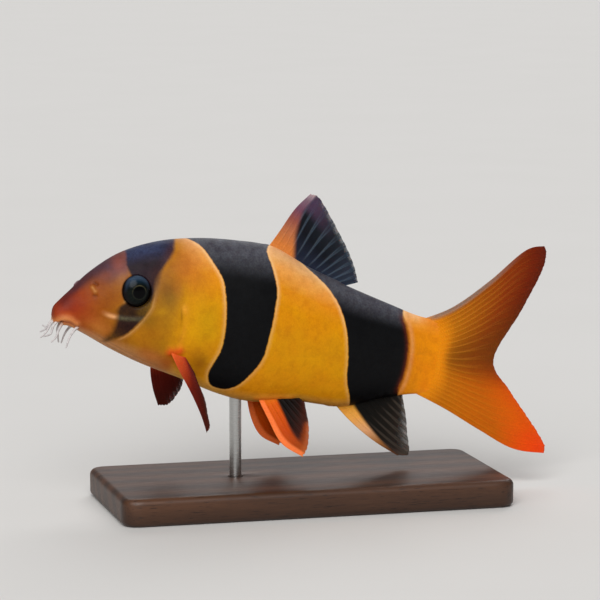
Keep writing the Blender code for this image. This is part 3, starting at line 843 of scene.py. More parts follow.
def ground_paint(flesh, settings, groove):
    """Colour of the skin between the bands.

    It is the flank's ramp by height, blended forward into the cheek's ramp by x, with the brow
    and soft patches over it and the flaps, lips and roots of the fins on top.
    """
    x, _, z = flesh.points.T
    height = flesh.height
    # The pale top of the ramp, from 0.9 up to the back's peach, is a painted highlight of the light from
    # above
    flank = ramp(height, (
        (0.0, "DEA850"), (0.08, settings.belly), (0.27, "D29200"), (0.48, settings.amber),
        (0.66, "D49000"), (0.78, "DA9018"), (0.90, "E2A456"), (1.0, settings.back),
    ))
    # The painted highlight on top of the back reaches over the tail root too
    lit_back = rise(height, 0.8, 1.0) * (1 - rise(x, 92.0, 98.0))
    flank = lay(flank, settings.stalk, rise(x, 88.0, 92.0) * 0.85 * (1 - lit_back))
    cheek = lay(ramp(x, CHEEK), "C89468", rise(-height, -0.16, -0.02) * 0.8)
    paint = blend(flank, cheek, 1 - rise(x, 27.0, 33.5))
    low_edge = 0.76 - 0.10 * rise(x, 8.0, 12.0)
    brow = rise((height - low_edge) / 0.2, 0.0, 1.0) * (1 - rise(x, 16.0, 18.0)) * rise(x, 0.6, 3.0)
    paint = blend(paint, ramp(x, BROW), 0.92 * brow)
    for _, centre, half, tilt, code, strength in SKIN_PATCHES:
        paint = lay(paint, code, strength * patch(x, z, centre, half, tilt))
    paint = lay(paint, "E8AC78", 0.95 * groove * patch(x, z, (13.9, 2.3), (1.6, 1.4)))
    for fin in FINS.values():
        if fin["look"] in ROOT_TINT:
            code, width, strength = ROOT_TINT[fin["look"]]
            paint = lay(paint, code, strength * bump(flesh.from_root(fin), width))
    lips = np.maximum(bump(flesh.around(UPPER_LIP), 0.9), bump(flesh.around(LOWER_LIP), 0.9))
    paint = lay(paint, "D08A54", 0.8 * lips)
    paint = lay(paint, "C08C52", 0.6 * bump(flesh.around(NOSTRIL_FLAP), 0.46))
    return lay(paint, "9A808C", 0.7 * bump(flesh.above(CREST_FLAP), 0.5))


def dark_paint(flesh, settings, groove, head):
    """Colour of the dark bands: brown under the eye, plum on the crown, and a painted slate sheen on top."""
    x, _, z = flesh.points.T
    under = head * (1 - rise(z, 5.5, 9.5))
    dark = np.tile(np.array(settings.band), (len(x), 1))
    for code, mask in (
        # The first and third rows are a painted sheen of the light from above on the tops of the bands and of
        # the crown
        (settings.band_top_sheen, rise(flesh.height, 0.76, 0.98)),
        ("220E1A", head * rise(flesh.height, 0.50, 0.62)),
        ("343C58", head * rise(flesh.height, 0.83, 0.98)),
        ("3A1A16", 0.9 * head * patch(x, z, (23.8, 13.4), (1.8, 2.6), -20)),
        ("4A2E34", head * patch(x, z, (26.6, 19.0), (1.2, 3.6), -24)),
        ("38200A", under),
        ("6E5010", under * rise(x, 18.6, 21.6) * rise(z, 2.4, 4.2)),
        ("2E1610", under * (1 - rise(z, 1.6, 2.4)) * rise(x, 14.0, 15.4)),
        ("64400E", under * patch(x, z, (13.4, -3.2), (3.0, 2.4))),
        ("5E5A42", 0.85 * head * groove * rise(x, 14.4, 15.6)),
    ):
        dark = lay(dark, code, mask)
    return dark


def band_map(flesh, rear_edge):
    """Distance inside the dark bands' outlines, and how soft their edges are, in millimetres."""
    x, _, z = flesh.points.T
    band = np.full(len(x), -99.0)
    softness = np.zeros(len(x))
    for name, outline in BANDS.items():
        gap = outline_distance(flesh.flat, smooth_outline(flesh.unrolled(outline)))
        softness = np.where(gap > band, BAND_SOFTNESS[name], softness)
        band = np.maximum(band, gap)
    softness += 0.55 * rear_edge + 0.9 * patch(x, z, (13.4, -1.0), (3.0, 6.0))
    softness += 0.3 * patch(x, z, (27.2, 18.6), (1.6, 5.0)) + 0.7 * patch(x, z, (23.6, 12.6), (2.4, 2.6))
    return band - 0.3 * rear_edge, softness


def skin_paint(flesh, settings, crease_shade):
    """Ground colour of the skin, colour of its dark bands, and the numbers that place them.

    A band's distance is positive inside its outline. The rear edge of the last band is softer
    and rusty, with a pale stripe behind it, and the other bands have a thin pale fringe. Shade
    is painted into the creases and into the hollow round each eye.
    """
    x, _, z = flesh.points.T
    height = flesh.height
    head = 1 - rise(x, 27.0, 30.0)
    rear_edge = rise(x, 84.0, 88.0) * (1 - rise(height, 0.86, 1.0)) * rise(height, 0.0, 0.12)
    groove = bump(flesh.side_line(SUBORBITAL_GROOVE), 0.5)
    socket = socket_line(flesh, 0.96, 0.07)
    band, softness = band_map(flesh, rear_edge)

    # Painted shade: darker in the creases of the head and throat
    paint = lay(ground_paint(flesh, settings, groove), "341406", 0.8 * crease_shade)
    # Painted shade in the hollow round each eye
    paint = lay(paint, "221008", 0.75 * socket)
    paint = lay(paint, "E2A068", 0.55 * bump(band + 0.9, 0.6) * rear_edge)
    # Painted shade round each eye on the dark bands as well
    dark = lay(dark_paint(flesh, settings, groove, head), "0E0806", 0.8 * socket)
    dark = lay(dark, "742A10", 0.85 * bump(band - 0.2, 0.8) * rear_edge)
    cheek_line = rise(x, 15.5, 17.0) * (1 - rise(z, 7.0, 11.0)) * head
    fringe = np.maximum(rise(x, 28.0, 36.0) * (0.4 + 0.6 * rise(height, 0.4, 0.9)), 0.3 * cheek_line)
    return paint, dark, band, softness, fringe * (1 - rear_edge)


def skin_material(settings):
    """Fish skin, wet and coated with mucus over minute scales.

    The eye sees one satin skin with soft wide highlights, faint mottling in the amber, and dark
    bands whose edges break up into grains of pigment. Water touches the skin of a living fish and
    takes most of its mirror reflection away, so the specular level is well under the usual 0.5.
    """
    material, shader, node = new_material("wet loach skin")
    place = node("TexCoord", output="Object")
    pigment = node("TexNoise", (place, PER_MM / 0.9, 3.0, 0.6))
    wobble = node("MapRange", (pigment, 0.2, 0.8, -0.14, 0.14))
    band_distance = node("Attribute", output="Fac", attribute_name="band_distance")
    distance = node("Math", (band_distance, wobble), operation="ADD")
    soft = node("Attribute", output="Fac", attribute_name="band_softness")
    outer = node("Math", (soft, -1.0), operation="MULTIPLY")
    inside = node("MapRange", (distance, outer, soft), interpolation_type="SMOOTHSTEP")

    # The pale line is crisp on the side of the band and fades over a millimetre outwards
    fringe = node("ValToRGB", (node("MapRange", (distance, -1.6, 0.0)),))
    points = fringe.node.color_ramp.elements
    points[0].position = 0.2
    points[1].color = (0.3, 0.3, 0.3, 1.0)
    points.new(0.55).color = (0.35, 0.35, 0.35, 1.0)
    points.new(0.78).color = (1.0, 1.0, 1.0, 1.0)
    fringe_share = node("Attribute", output="Fac", attribute_name="fringe")
    fringe_share = node("Math", (fringe, fringe_share), operation="MULTIPLY")
    fringe_share = node("Math", (fringe_share, 0.6), operation="MULTIPLY")

    mottle = node("MapRange", (node("TexNoise", (place, PER_MM / 4.0, 4.0, 0.65)), 0.3, 0.7))
    grain = node("MapRange", (node("TexNoise", (place, PER_MM / 0.5, 2.0, 0.7)), 0.35, 0.65))
    blotches = node("MapRange", (node("TexNoise", (place, PER_MM / 9.0)), 0.42, 0.62))
    flecks = node("MapRange", (node("TexNoise", (place, PER_MM / 1.7)), 0.46, 0.66))
    ground = stained(
        node, node("Attribute", output="Color", attribute_name="paint"),
        (mottle, 0.6, (0.84, 0.76, 0.6)), (grain, 0.4, (0.84, 0.76, 0.6)),
        (blotches, 1.0, (1.0, 0.89, 0.8)), (flecks, 0.5, (0.84, 0.78, 0.7)),
    )
    ground = node("Mix", (fringe_share, ground, settings.fringe), data_type="RGBA")
    dark = stained(
        node, node("Attribute", output="Color", attribute_name="dark_paint"),
        (grain, 1.0, (0.72, 0.7, 0.75)), (mottle, 1.0, (0.66, 0.6, 0.62)), (flecks, 0.6, (0.6, 0.55, 0.6)),
    )
    colour = node("Mix", (inside, ground, dark), data_type="RGBA")

    # Scales of a young loach are under 0.3 mm and hidden in the skin; the relief is drawn a
    # little coarser so that it shows as a fine satin grain
    scales = node("TexVoronoi", {"Vector": place, "Scale": 1 / settings.scale_size, "Randomness": 0.7})
    fine = node("Math", (scales, -0.6), operation="MULTIPLY")
    fine = node("Math", (fine, node("TexNoise", (place, PER_MM / 1.6, 3.0))), operation="ADD")
    relief = node("Bump", {"Height": fine, "Strength": 0.4, "Distance": 0.06 * MM})
    gloss = node("MapRange", (node("TexNoise", (place, PER_MM / 2.5, 3.0)), 0.3, 0.7, 0.42, 0.56))
    set_shader(
        shader, Base_Color=colour, Roughness=gloss, Normal=relief,
        IOR=1.36, Specular_IOR_Level=0.18,
        Subsurface_Weight=0.10, Subsurface_Radius=(1.0, 0.45, 0.18), Subsurface_Scale=0.8 * MM,
    )
    return material


def make_skin(settings):
    """One closed skin over head, gill covers, trunk and tail stalk.

    Rings of the flesh are raised by the relief along their normals. A vertex closes the tip of
    the snout, and the tail end is rounded by rings whose half width falls with the cosine of a
    quarter turn while they move back with its sine, and is closed along the middle plane.
    """
    flesh = Flesh(ring_rows(settings), settings.sides)
    raised, crease_shade = skin_relief(flesh)
    rings = flesh.rings + flesh.normals * raised.reshape(flesh.shape)[..., None]
    turn = np.linspace(0.0, math.radians(82.0), 7)[1:, None, None]
    cap = rings[-1:] * np.concatenate([np.ones_like(turn), np.cos(turn), np.ones_like(turn)], axis=2)
    cap[..., 0] += TAIL_END_ROUNDING * np.sin(turn)[..., 0]
    tip = rings[0].mean(axis=0) - (0.02, 0.0, 0.0)
    rows, sides = flesh.shape
    points = np.concatenate([rings.reshape(-1, 3), cap.reshape(-1, 3), tip[None]])
    total = rows + len(cap)
    last = (total - 1) * sides + np.arange(sides)
    half = sides // 2
    right, left = last[1:half], last[:half:-1]
    ends = np.array([(last[0], right[0], left[0]), (right[-1], last[half], left[-1])])
    faces = [
        np.vstack([grid_quads(total, sides, closed=True), strip_quads(right, left)]),
        np.vstack([fan(np.arange(sides)[::-1], len(points) - 1), ends]),
    ]
    nodes = ("head", "gill_cover_left", "gill_cover_right", "trunk", "tail_stalk")
    piece = add_piece("loach_skin", placed(points), faces, skin_material(settings), nodes)

    # The rounded end takes the paint of the last ring, and the tip of the snout that of the first point
    number = np.arange(rows * sides)
    source = np.concatenate([number, np.tile(number[-sides:], len(cap)), [0]])
    layers = skin_paint(flesh, settings, crease_shade)
    paint, dark, band, softness, fringe = (layer[source] for layer in layers)
    add_colours(piece, paint=paint, dark_paint=dark)
    add_values(piece, band_distance=band, band_softness=softness, fringe=fringe)


def eye_material(settings):
    """Living fish eye: a clear wet cornea over a dark iris.

    The eye sees a black pupil with a thin broken ring of olive gold, a dark iris with teal above
    the pupil, and a blue-grey outer ring. The teal, the outer ring and the gold ring are painted
    brighter in front and on top, as a reflection of the light above, and the black edge of the
    socket round them is painted shade.
    """
    material, shader, node = new_material("wet fish eye")
    place = node("TexCoord", output="Object")
    radius, oval, lit, up = (
        node("Attribute", output="Fac", attribute_name=name) for name in ("from_pupil", "oval", "lit", "up")
    )
    uneven = node("TexNoise", (place, PER_MM / 0.8, 3.0, 0.6))
    spoke_place = node("Attribute", output="Vector", attribute_name="spoke_place")
    spokes = node("MapRange", (node("TexNoise", (spoke_place, 1.0, 3.0, 0.6)), 0.35, 0.7))
    iris = node("Mix", (spokes, settings.iris, linear("101612")), data_type="RGBA")
    teal = node("MapRange", (lit, 0.3, 0.9))
    teal = node("Math", (teal, node("MapRange", (radius, 1.9, 2.6))), operation="MULTIPLY")
    iris = node("Mix", (teal, iris, settings.teal), data_type="RGBA")
    rim_light = node("MapRange", (lit, 0.1, 0.85))
    rim = node("Mix", (rim_light, linear("14100F"), settings.rim), data_type="RGBA")
    rim = stained(node, rim, (node("MapRange", (uneven, 0.35, 0.7, 0.0, 0.7)), 1.0, (0.55, 0.55, 0.6)))
    colour = node("Mix", (node("MapRange", (oval, 0.66, 0.84)), iris, rim), data_type="RGBA")

    # The black edge of the socket is painted shade, wide in front and below, and gone on top
    lift = node("MapRange", (up, 0.1, 0.7, 0.0, 0.12))
    edge = node("MapRange", (node("Math", (oval, lift), operation="SUBTRACT"), 0.80, 0.92))
    colour = node("Mix", (edge, colour, linear("080505")), data_type="RGBA")

    off_ring = node("Math", (radius, settings.ring_radius / MM), operation="SUBTRACT")
    off_ring = node("Math", (off_ring,), operation="ABSOLUTE")
    ring = node("MapRange", (off_ring, 0.03, 0.16, 1.0, 0.0))
    for breaks in ((uneven, 0.3, 0.65, 0.2, 1.0), (lit, 0.0, 0.6, 0.12, 1.0)):
        ring = node("Math", (ring, node("MapRange", breaks)), operation="MULTIPLY")
    colour = node("Mix", (ring, colour, settings.ring), data_type="RGBA")
    pupil = settings.pupil_radius / MM
    in_pupil = node("MapRange", (radius, pupil, pupil + 0.12, 1.0, 0.0))
    colour = node("Mix", (in_pupil, colour, linear("010102")), data_type="RGBA")
    set_shader(shader, Base_Color=colour, Roughness=0.19, IOR=1.376, Specular_IOR_Level=0.13)
    return material


def make_eyes(settings):
    """Two eyeballs: ellipsoids, flattened sideways. Each ring is one angle from the outer pole."""
    material = eye_material(settings)
    rows, columns = EYE_GRID
    tilt = np.linspace(0.0, math.pi, rows + 2)[1:-1, None]
    circle = unit_circle(columns)
    ball = np.stack([
        np.sin(tilt) * circle[:, 0], np.cos(tilt) * np.ones(columns), np.sin(tilt) * circle[:, 1],
    ], axis=-1).reshape(-1, 3)
    ball = np.vstack([ball, ((0.0, 1.0, 0.0), (0.0, -1.0, 0.0))])
    points = EYE_CENTRE + ball * EYE_HALF
    from_pupil = points[:, (0, 2)] - PUPIL_CENTRE
    radius = np.hypot(*from_pupil.T)
    angle = np.arctan2(from_pupil[:, 1], from_pupil[:, 0])
    front = rise(points[:, 1], EYE_CENTRE[1], EYE_CENTRE[1] + 1.0) > 0.5
    for word, side in (("left", -1.0), ("right", 1.0)):
        places = placed(points * (1.0, side, 1.0))
        faces = capped_rings(rows, columns)
        piece = add_piece("eyeball_" + word, places, faces, material, ("eye_" + word,))
        # lit is a painted reflection of the light above, strongest on top and in front
        add_values(
            piece, from_pupil=np.where(front, radius, 9.0), oval=np.where(front, eye_ovals(points), 1.0),
            lit=np.clip(0.10 + 0.9 * ball[:, 2] - 0.18 * ball[:, 0], 0, 1), up=ball[:, 2],
        )
        spokes = np.stack([np.cos(angle) * 9, np.sin(angle) * 9, radius * 0.8], axis=1)
        add_layer(piece, "FLOAT_VECTOR", "spoke_place", spokes)


def in_space(points):
    """Points of the middle plane get a y of 0, and others stay as they are."""
    points = np.asarray(points, float)
    if points.shape[-1] == 2:
        return np.stack([points[..., 0], np.zeros(points.shape[:-1]), points[..., 1]], axis=-1)
    return points


def fin_sheet(fin, across, out):
    """Middle surface of a fin at arrays of places across the rays and out along them, 0 to 1.

    Straight rays join the root line to the margin. The first and the last ray then take up their
    own curves, and what they are moved by fades with the square of the way to the other edge.
    """
    root, margin = in_space(fin["root"]), in_space(fin["margin"])
    lead = np.vstack([root[:1], in_space(fin["lead"]), margin[:1]])
    rear = np.vstack([root[-1:], in_space(fin["rear"]), margin[-1:]])
    base = spline(root, across * (len(root) - 1))
    edge = spline(margin, across * (len(margin) - 1))
    share = out[..., None]
    lead_move = spline(lead, out * (len(lead) - 1)) - (root[0] * (1 - share) + margin[0] * share)
    rear_move = spline(rear, out * (len(rear) - 1)) - (root[-1] * (1 - share) + margin[-1] * share)
    weight = across[..., None]
    return base * (1 - share) + edge * share + lead_move * (1 - weight) ** 2 + rear_move * weight**2


def ray_pattern(fin, across, out):
    """Way from the nearest ray, in cells of one ray, and the number of its cell.

    In the cell of one ray the way from its middle is folded twice at places that move outwards
    with smooth steps, so the way is 0 on the ray, then on its two branches, then on their four.
    """
    place = across * (fin["rays"] - 1)
    cell = np.round(place)
    q = np.abs(place - cell)
    stiff = cell < fin["stiff"]
    if fin["look"] == "caudal":
        stiff |= cell > fin["rays"] - 1 - fin["stiff"]
    branching = np.where(stiff, 0.0, 1.0)
    uneven = 0.06 * np.sin(cell * 2.4)
    first = fin["fork"] * branching * rise(out, 0.25 + uneven, 1.05)
    second = 0.45 * fin["fork"] * branching * rise(out, 0.5 + uneven, 1.15)
    return np.abs(np.abs(q - first) - second), cell


def dorsal_paint(across, out, ray):
    """Slate blue at the root, a painted sheen, to black; peach and plum in the wedge behind the leading ray.
    """
    # The slate blue at the root is a painted sheen of the light from above
    paint = ramp(out, ((0.0, "465066"), (0.16, "1C2234"), (0.5, "0B0E16"), (0.88, "161B22"), (1.0, "343E46")))
    paint = lay(paint, "2C3444", 0.6 * rise(across, 0.5, 0.9))
    paint = lay(paint, "4A5866", 0.5 * ray * rise(out, 0.12, 0.35) * (1 - 0.75 * rise(out, 0.6, 1.0)))
    edge = np.interp(out, (0.0, 0.4, 0.7, 1.0), (0.36, 0.20, 0.13, 0.16))
    wedge = 1 - rise(across, edge - 0.03, edge + 0.05)
    front = ramp(out, (
        (0.0, "DC8A42"), (0.2, "CA7836"), (0.4, "B06A44"), (0.55, "8E4E44"),
        (0.7, "6C4458"), (0.88, "78606E"), (1.0, "A8949A"),
    ))
    paint = blend(paint, front, wedge)
    tip = rise(out, 0.66, 0.82) * (1 - rise(across, 0.2, 0.5))
    return lay(paint, "4A3850", 0.8 * tip * (1 - wedge)), 0.9 * rise(out, 0.88, 1.0)


def anal_paint(across, out, ray):
    """Sooty black with paler rays, amber and tan in the wedge behind the leading ray."""
    paint = ramp(out, ((0.0, "080806"), (0.3, "0E0C09"), (0.6, "16120E"), (0.85, "241E1A"), (1.0, "463C34")))
    paint = lay(paint, "564C42", 0.4 * ray * rise(out, 0.3, 0.6) * (1 - 0.6 * rise(out, 0.8, 1.0)))
    edge = np.interp(out, (0.0, 0.5, 0.9, 1.0), (0.26, 0.15, 0.05, 0.03))
    front = ramp(out, ((0.0, "DA9408"), (0.3, "E4A24C"), (0.5, "D8A070"), (0.7, "9C6838"), (0.9, "5C3A22")))
    paint = blend(paint, front, 1 - rise(across, edge - 0.03, edge + 0.04))
    return paint, 0.9 * rise(out, 0.7, 1.0)


def caudal_paint(across, out, ray):
    """Orange, russet towards the upper tip and red at the lower one, with a grey upper edge."""
    upper = ramp(out, (
        (0.0, "E48C04"), (0.08, "DA8204"), (0.2, "B06604"), (0.4, "9A5002"), (0.62, "843202"),
        (0.85, "6A1E02"), (1.0, "561804"),
    ))
    lower = ramp(out, (
        (0.0, "E48C04"), (0.08, "DA8204"), (0.2, "B66602"), (0.4, "BA6002"), (0.62, "BC5C02"),
        (0.85, "CE5A02"), (1.0, "D65202"),
    ))
    paint = blend(upper, lower, rise(across, 0.46, 0.7))
    paint = lay(paint, "E64206", rise(across, 0.78, 0.98) * rise(out, 0.62, 0.98))
    paint = lay(paint, "6E3C02", 0.6 * bump(across - 0.48, 0.14) * rise(out, 0.1, 0.3))
    paint = lay(paint, "DC8E20", 0.2 * ray * (1 - rise(out, 0.3, 0.9)))
    sliver = 1 - rise(across, 0.02, 0.03 + 0.06 * (1 - out))
    paint = lay(paint, "8E7668", 0.8 * sliver * rise(out, 0.02, 0.12) * (1 - rise(out, 0.45, 0.8)))
    clear = 0.14 * rise(out, 0.85, 1.0) * (1 - 0.7 * ray)
    return paint, clear + 0.3 * sliver * (1 - rise(out, 0.3, 0.6))


def pectoral_paint(across, out, ray):
    """Orange-red at the root and dark wine red outwards."""
    paint = ramp(out, ((0.0, "DC5614"), (0.2, "AC2E06"), (0.5, "64180E"), (0.8, "4A140E"), (1.0, "44180E")))
    paint = lay(paint, "D86A38", 0.4 * ray * (1 - rise(out, 0.15, 0.5)))
    return paint, 0.5 * rise(out, 0.8, 1.0)


def pelvic_paint(across, out, ray):
    """Orange-red with a black patch on the rear half, and a bright leading edge."""
    paint = ramp(out, ((0.0, "DC7C0C"), (0.2, "CE5606"), (0.6, "BA4404"), (0.9, "983E06"), (1.0, "B05C28")))
    edge = 0.50 - 0.26 * out
    stain = rise(across, edge - 0.05, edge + 0.05)
    stain = stain * (1 - rise(out - 0.3 * rise(across, 0.6, 0.9), 0.78, 0.96))
    patch_paint = ramp(out, ((0.0, "0E0802"), (0.3, "0A0402"), (0.6, "180804"), (0.9, "3A1408")))
    paint = blend(paint, patch_paint, stain)
    paint = lay(paint, "5E2C22", 0.1 * ray * stain * rise(out, 0.3, 0.6))
    paint = lay(paint, "F47C3E", 0.9 * (1 - rise(across, 0.08, 0.15)) * rise(out, 0.05, 0.15))
    return paint, 0.6 * rise(out, 0.85, 1.0)


FIN_PAINTS = {
    "dorsal": dorsal_paint, "anal": anal_paint, "caudal": caudal_paint,
    "pectoral": pectoral_paint, "pelvic": pelvic_paint,
}


def fin_paint(look, across, out, ray):
    """Ground colour of a fin and its see-through share, from the places and the ray pattern.

    Each look is a ramp from root to margin with paler rays. All fins but the tail fin are clearer
    at the rear than in front, and in the web than on the rays.
    """
    across, out, ray = across.ravel(), out.ravel(), ray.ravel()
    paint, clear = FIN_PAINTS[look](across, out, ray)
    if look != "caudal":
        clear = clear * (rise(across, 0.1, 0.45) * (1 - 0.6 * ray))
    return paint, np.clip(clear, 0, 1)


def fin_material(name, glow, settings):
    """Rayed fin: thin skin over bony rays, wet.

    The eye sees each ray as a fine raised line broken by its joints, and a membrane that lets
    light and the background through towards its free edge. Glow is the share of light that is
    scattered inside it. As on the skin, the specular level is low, as it is under water.
    """
    material, shader, node = new_material(name)
    paint = node("Attribute", output="Color", attribute_name="paint")
    ray, along_ray, clear = (
        node("Attribute", output="Fac", attribute_name=layer) for layer in ("ray", "along_ray", "clear")
    )
    speckle = node("TexNoise", (node("TexCoord", output="Object"), PER_MM / 0.35, 2.0, 0.7))
    colour = stained(node, paint, (node("MapRange", (speckle, 0.35, 0.65)), 0.5, (0.72, 0.7, 0.7)))
    # Joints of a ray are 0.3 to 0.5 mm apart in life, drawn at 0.6 mm so that they show
    joints = node("Math", (along_ray, 2 * math.pi / 0.6), operation="MULTIPLY")
    joints = node("Math", (joints,), operation="SINE")
    ridges = node("Math", (joints, ray), operation="MULTIPLY")
    relief = node("Bump", {"Height": ridges, "Strength": 0.3, "Distance": 0.04 * MM})
    web = node("Math", (clear, settings.clearness), operation="MULTIPLY")
    set_shader(
        shader, Base_Color=colour, Roughness=0.56, Normal=relief,
        IOR=1.36, Specular_IOR_Level=0.15, Alpha=node("Math", (1.0, web), operation="SUBTRACT"),
        Subsurface_Weight=glow, Subsurface_Radius=(1.0, 0.5, 0.25), Subsurface_Scale=0.4 * MM,
    )
    return material


def make_fin(name, material, settings):
    """A fin as one closed thin shell, with branching rays raised on both sides.

    Its thickness is that of the web plus, on a ray, a bell curve of the distance from the ray in
    millimetres; both get thinner outwards. The free edge falls back between the rays, and at the
    tips of the tail fin by the square of the way to the tip. The sheet swings sideways in a slow
    wave that grows with the square of the way out.
    """
    fin = FINS[name]
    columns, rows = fin["grid"]
    across, out = np.meshgrid(np.linspace(0, 1, columns), np.linspace(0, 1, rows), indexing="ij")
    off, cell = ray_pattern(fin, across, out)
    edge_off, edge_cell = ray_pattern(fin, across[:, -1:], np.full((columns, 1), 0.97))
    rng = np.random.default_rng(len(name) * 7 + fin["rays"])
    ragged = rng.uniform(0.0, 1.0, fin["rays"])[edge_cell.astype(int)]
    notch = fin["notch"] * (0.35 * ragged + 0.65 * (1 - bump(edge_off, 0.09)))
    reach = 1 - notch * rise(across[:, :1], 0.0, 0.06)
    if fin["look"] == "caudal":
        from_tip = np.minimum(across[:, :1], 1 - across[:, :1]) / TIP_WIDTH
        reach = reach - TIP_ROUNDING * np.clip(1 - from_tip, 0, 1) ** 2
    sheet = fin_sheet(fin, across, out * reach)
    swing = np.sin(across * 7.0 + 0.6) + 0.5 * np.sin(across * 17.0 + 2.0)
    swing = fin["wave"] * 0.6 * out**2 * swing * rise(across, 0.0, 0.15)
    sheet = sheet + grid_normals(sheet, closed=False) * swing[..., None]

    span = np.linalg.norm(np.gradient(sheet, axis=0), axis=-1) * (columns - 1)
    leading = cell < 1
    ray_width = settings.ray_width / MM * (1 - 0.4 * out) * np.where(leading, 1.5, 1.0)
    ray = bump(off * span / (fin["rays"] - 1), ray_width)
    tall = settings.ray_thickness / MM * rise(out, 0.02, 0.3) * (1 - 0.8 * out) * np.where(leading, 1.3, 1.0)
    root = 0.5 * bump(out, 0.10) * (fin["look"] != "caudal")
    thick = settings.web_thickness / MM * (1 - 0.6 * out) + tall * ray + root
    for from_side in (across, 1 - across):
        t = np.clip(from_side * span / EDGE_ROUNDING, 0, 1)
        thick = thick * np.sqrt(np.clip(t * (2 - t), 0.01, 1))
    t = np.clip((1 - out) / 0.02, 0, 1)
    thick = thick * (0.25 + 0.75 * np.sqrt(t * (2 - t)))

    half = grid_normals(sheet, closed=False) * thick[..., None] / 2
    size = columns * rows
    number = np.arange(size).reshape(columns, rows)
    rim = np.concatenate([number[0, :-1], number[:-1, -1], number[-1, :0:-1], number[:0:-1, 0], [0]])
    faces = [np.vstack([
        grid_quads(columns, rows),
        grid_quads(columns, rows, first=size)[:, ::-1],
        strip_quads(rim + size, rim),
    ])]
    shell = placed(np.stack([sheet + half, sheet - half]))
    piece = add_piece("rayed_" + name, shell, faces, material, (name,))
    paint, clear = fin_paint(fin["look"], across, out, ray)
    along = np.cumsum(np.linalg.norm(np.diff(sheet, axis=1, prepend=sheet[:, :1]), axis=-1), axis=1)
    both_faces = [np.tile(layer.ravel(), 2) for layer in (clear, ray, along)]
    add_colours(piece, paint=np.tile(paint, (2, 1)))
    add_values(piece, clear=both_faces[0], ray=both_faces[1], along_ray=both_faces[2])


def barbel_material(settings):
    """Barbel: soft bare skin, wet and faintly see-through.

    The eye sees a smooth pale whisker, a little warmer at its fleshy root.
    """
    material, shader, node = new_material("barbel skin")
    shade = node("TexNoise", (node("TexCoord", output="Object"), PER_MM / 0.7))
    shade = node("MapRange", (shade, 0.3, 0.7))
    pale = node("Mix", (shade, settings.colour, linear("A8A2A2")), data_type="RGBA")
    out = node("Attribute", output="Fac", attribute_name="out")
    colour = node("Mix", (node("MapRange", (out, 0.02, 0.2)), linear("C09478"), pale), data_type="RGBA")
    set_shader(shader, Base_Color=colour, Roughness=0.45, IOR=1.38, Specular_IOR_Level=0.3)
    return material


def tube(line, radii, sides):
    """Points of a round tube along a line: rings in planes square to the line, then two tips.

    The rings' first direction is the line's tangent crossed with the y axis, so they don't twist.
    """
    tangent = np.gradient(line, axis=0)
    tangent /= np.linalg.norm(tangent, axis=1, keepdims=True)
    first = np.cross(tangent, (0.0, 1.0, 0.0))
    first /= np.linalg.norm(first, axis=1, keepdims=True)
    second = np.cross(tangent, first)
    cosine, sine = unit_circle(sides).T[:, None, :, None]
    rings = line[:, None] + (first[:, None] * cosine + second[:, None] * sine) * radii[:, None, None]
    tips = np.stack([line[0] - tangent[0] * radii[0], line[-1] + tangent[-1] * radii[-1]])
    return np.vstack([rings.reshape(-1, 3), tips])


def make_barbels(settings):
    """Eight tapering barbels along smooth curves, thick at the lip and rounded at the tip."""
    material = barbel_material(settings)
    rows, sides = BARBEL_GRID
    steps = np.linspace(0.0, 1.0, rows)
    root, tip = settings.root_radius / MM, settings.tip_radius / MM
    radii = tip + (root - tip) * (1 - steps) ** 1.3
    radii *= np.sqrt(np.clip((1.02 - steps) / 0.06, 0.1, 1))
    out = np.concatenate([np.repeat(steps, sides), [0.0, 1.0]])
    for name, knots in BARBELS.items():
        for word, side in (("left", 1.0), ("right", -1.0)):
            route = np.array(knots) * (1.0, side, 1.0)
            if word == "right":
                route += np.linspace(0.0, 1.0, len(route))[:, None] ** 2 * RIGHT_TIP_SWING[name]
            points = placed(tube(smooth_line(route, rows), radii, sides))
            faces = capped_rings(rows, sides)
            nodes = (f"barbel_{name}_{word}",)
            piece = add_piece(f"whisker_{name}_{word}", points, faces, material, nodes)
            add_values(piece, out=out)


def wood_material(settings):
    """Walnut, planed and oiled.

    The eye sees dark brown wood with long uneven grain along the block, fine open pores, and a
    low satin shine.
    """
    material, shader, node = new_material("oiled walnut")
    place = node("TexCoord", output="Object")
    # Growth rings are 2 to 4 mm apart and run along the block, so the pattern is drawn out
    # twelve times longer than it is wide
    stretch = {"Vector": place, "Scale": (1 / 12, 1.0, 1.0), "Rotation": (0.35, 0.0, 0.03)}
    stretched = node("Mapping", stretch)
    bend = node("TexNoise", (stretched, PER_MM / 9.0, 3.0, 0.5))
    bend = node("Math", (bend, 6 * MM), operation="MULTIPLY")
    wave = {
        "Vector": node("VectorMath", (stretched, bend), operation="ADD"),
        "Scale": PER_MM / 4.0 / 6.3, "Distortion": 7.0, "Detail": 3.0, "Detail Scale": 0.6,
    }
    rings = node("TexWave", wave, output="Fac", bands_direction="Y")
    rings = node("MapRange", (rings, 0.0, 1.0, 0.2, 0.85))
    fibres = node("TexNoise", (stretched, PER_MM / 0.5, 4.0, 0.7))
    pores = node("MapRange", (node("TexNoise", (stretched, PER_MM / 0.28, 1.0)), 0.62, 0.72))
    grain = node("Mix", (rings, settings.wood_dark, settings.wood_light), data_type="RGBA")
    grain = stained(node, grain, (node("MapRange", (fibres, 0.3, 0.7, 0.0, 0.7)), 1.0, (0.6, 0.55, 0.5)))
    in_pores = node("Math", (pores, 0.7), operation="MULTIPLY")
    grain = node("Mix", (in_pores, grain, linear("140A06")), data_type="RGBA")
    depth = node("Math", (fibres, 0.4), operation="MULTIPLY")
    depth = node("Math", (depth, pores), operation="SUBTRACT")
    set_shader(
        shader, Base_Color=grain, IOR=1.5, Specular_IOR_Level=0.35,
        Roughness=node("MapRange", (fibres, 0.3, 0.7, 0.36, 0.5)),
        Normal=node("Bump", {"Height": depth, "Strength": 0.35, "Distance": 0.05 * MM}),
    )
    return material


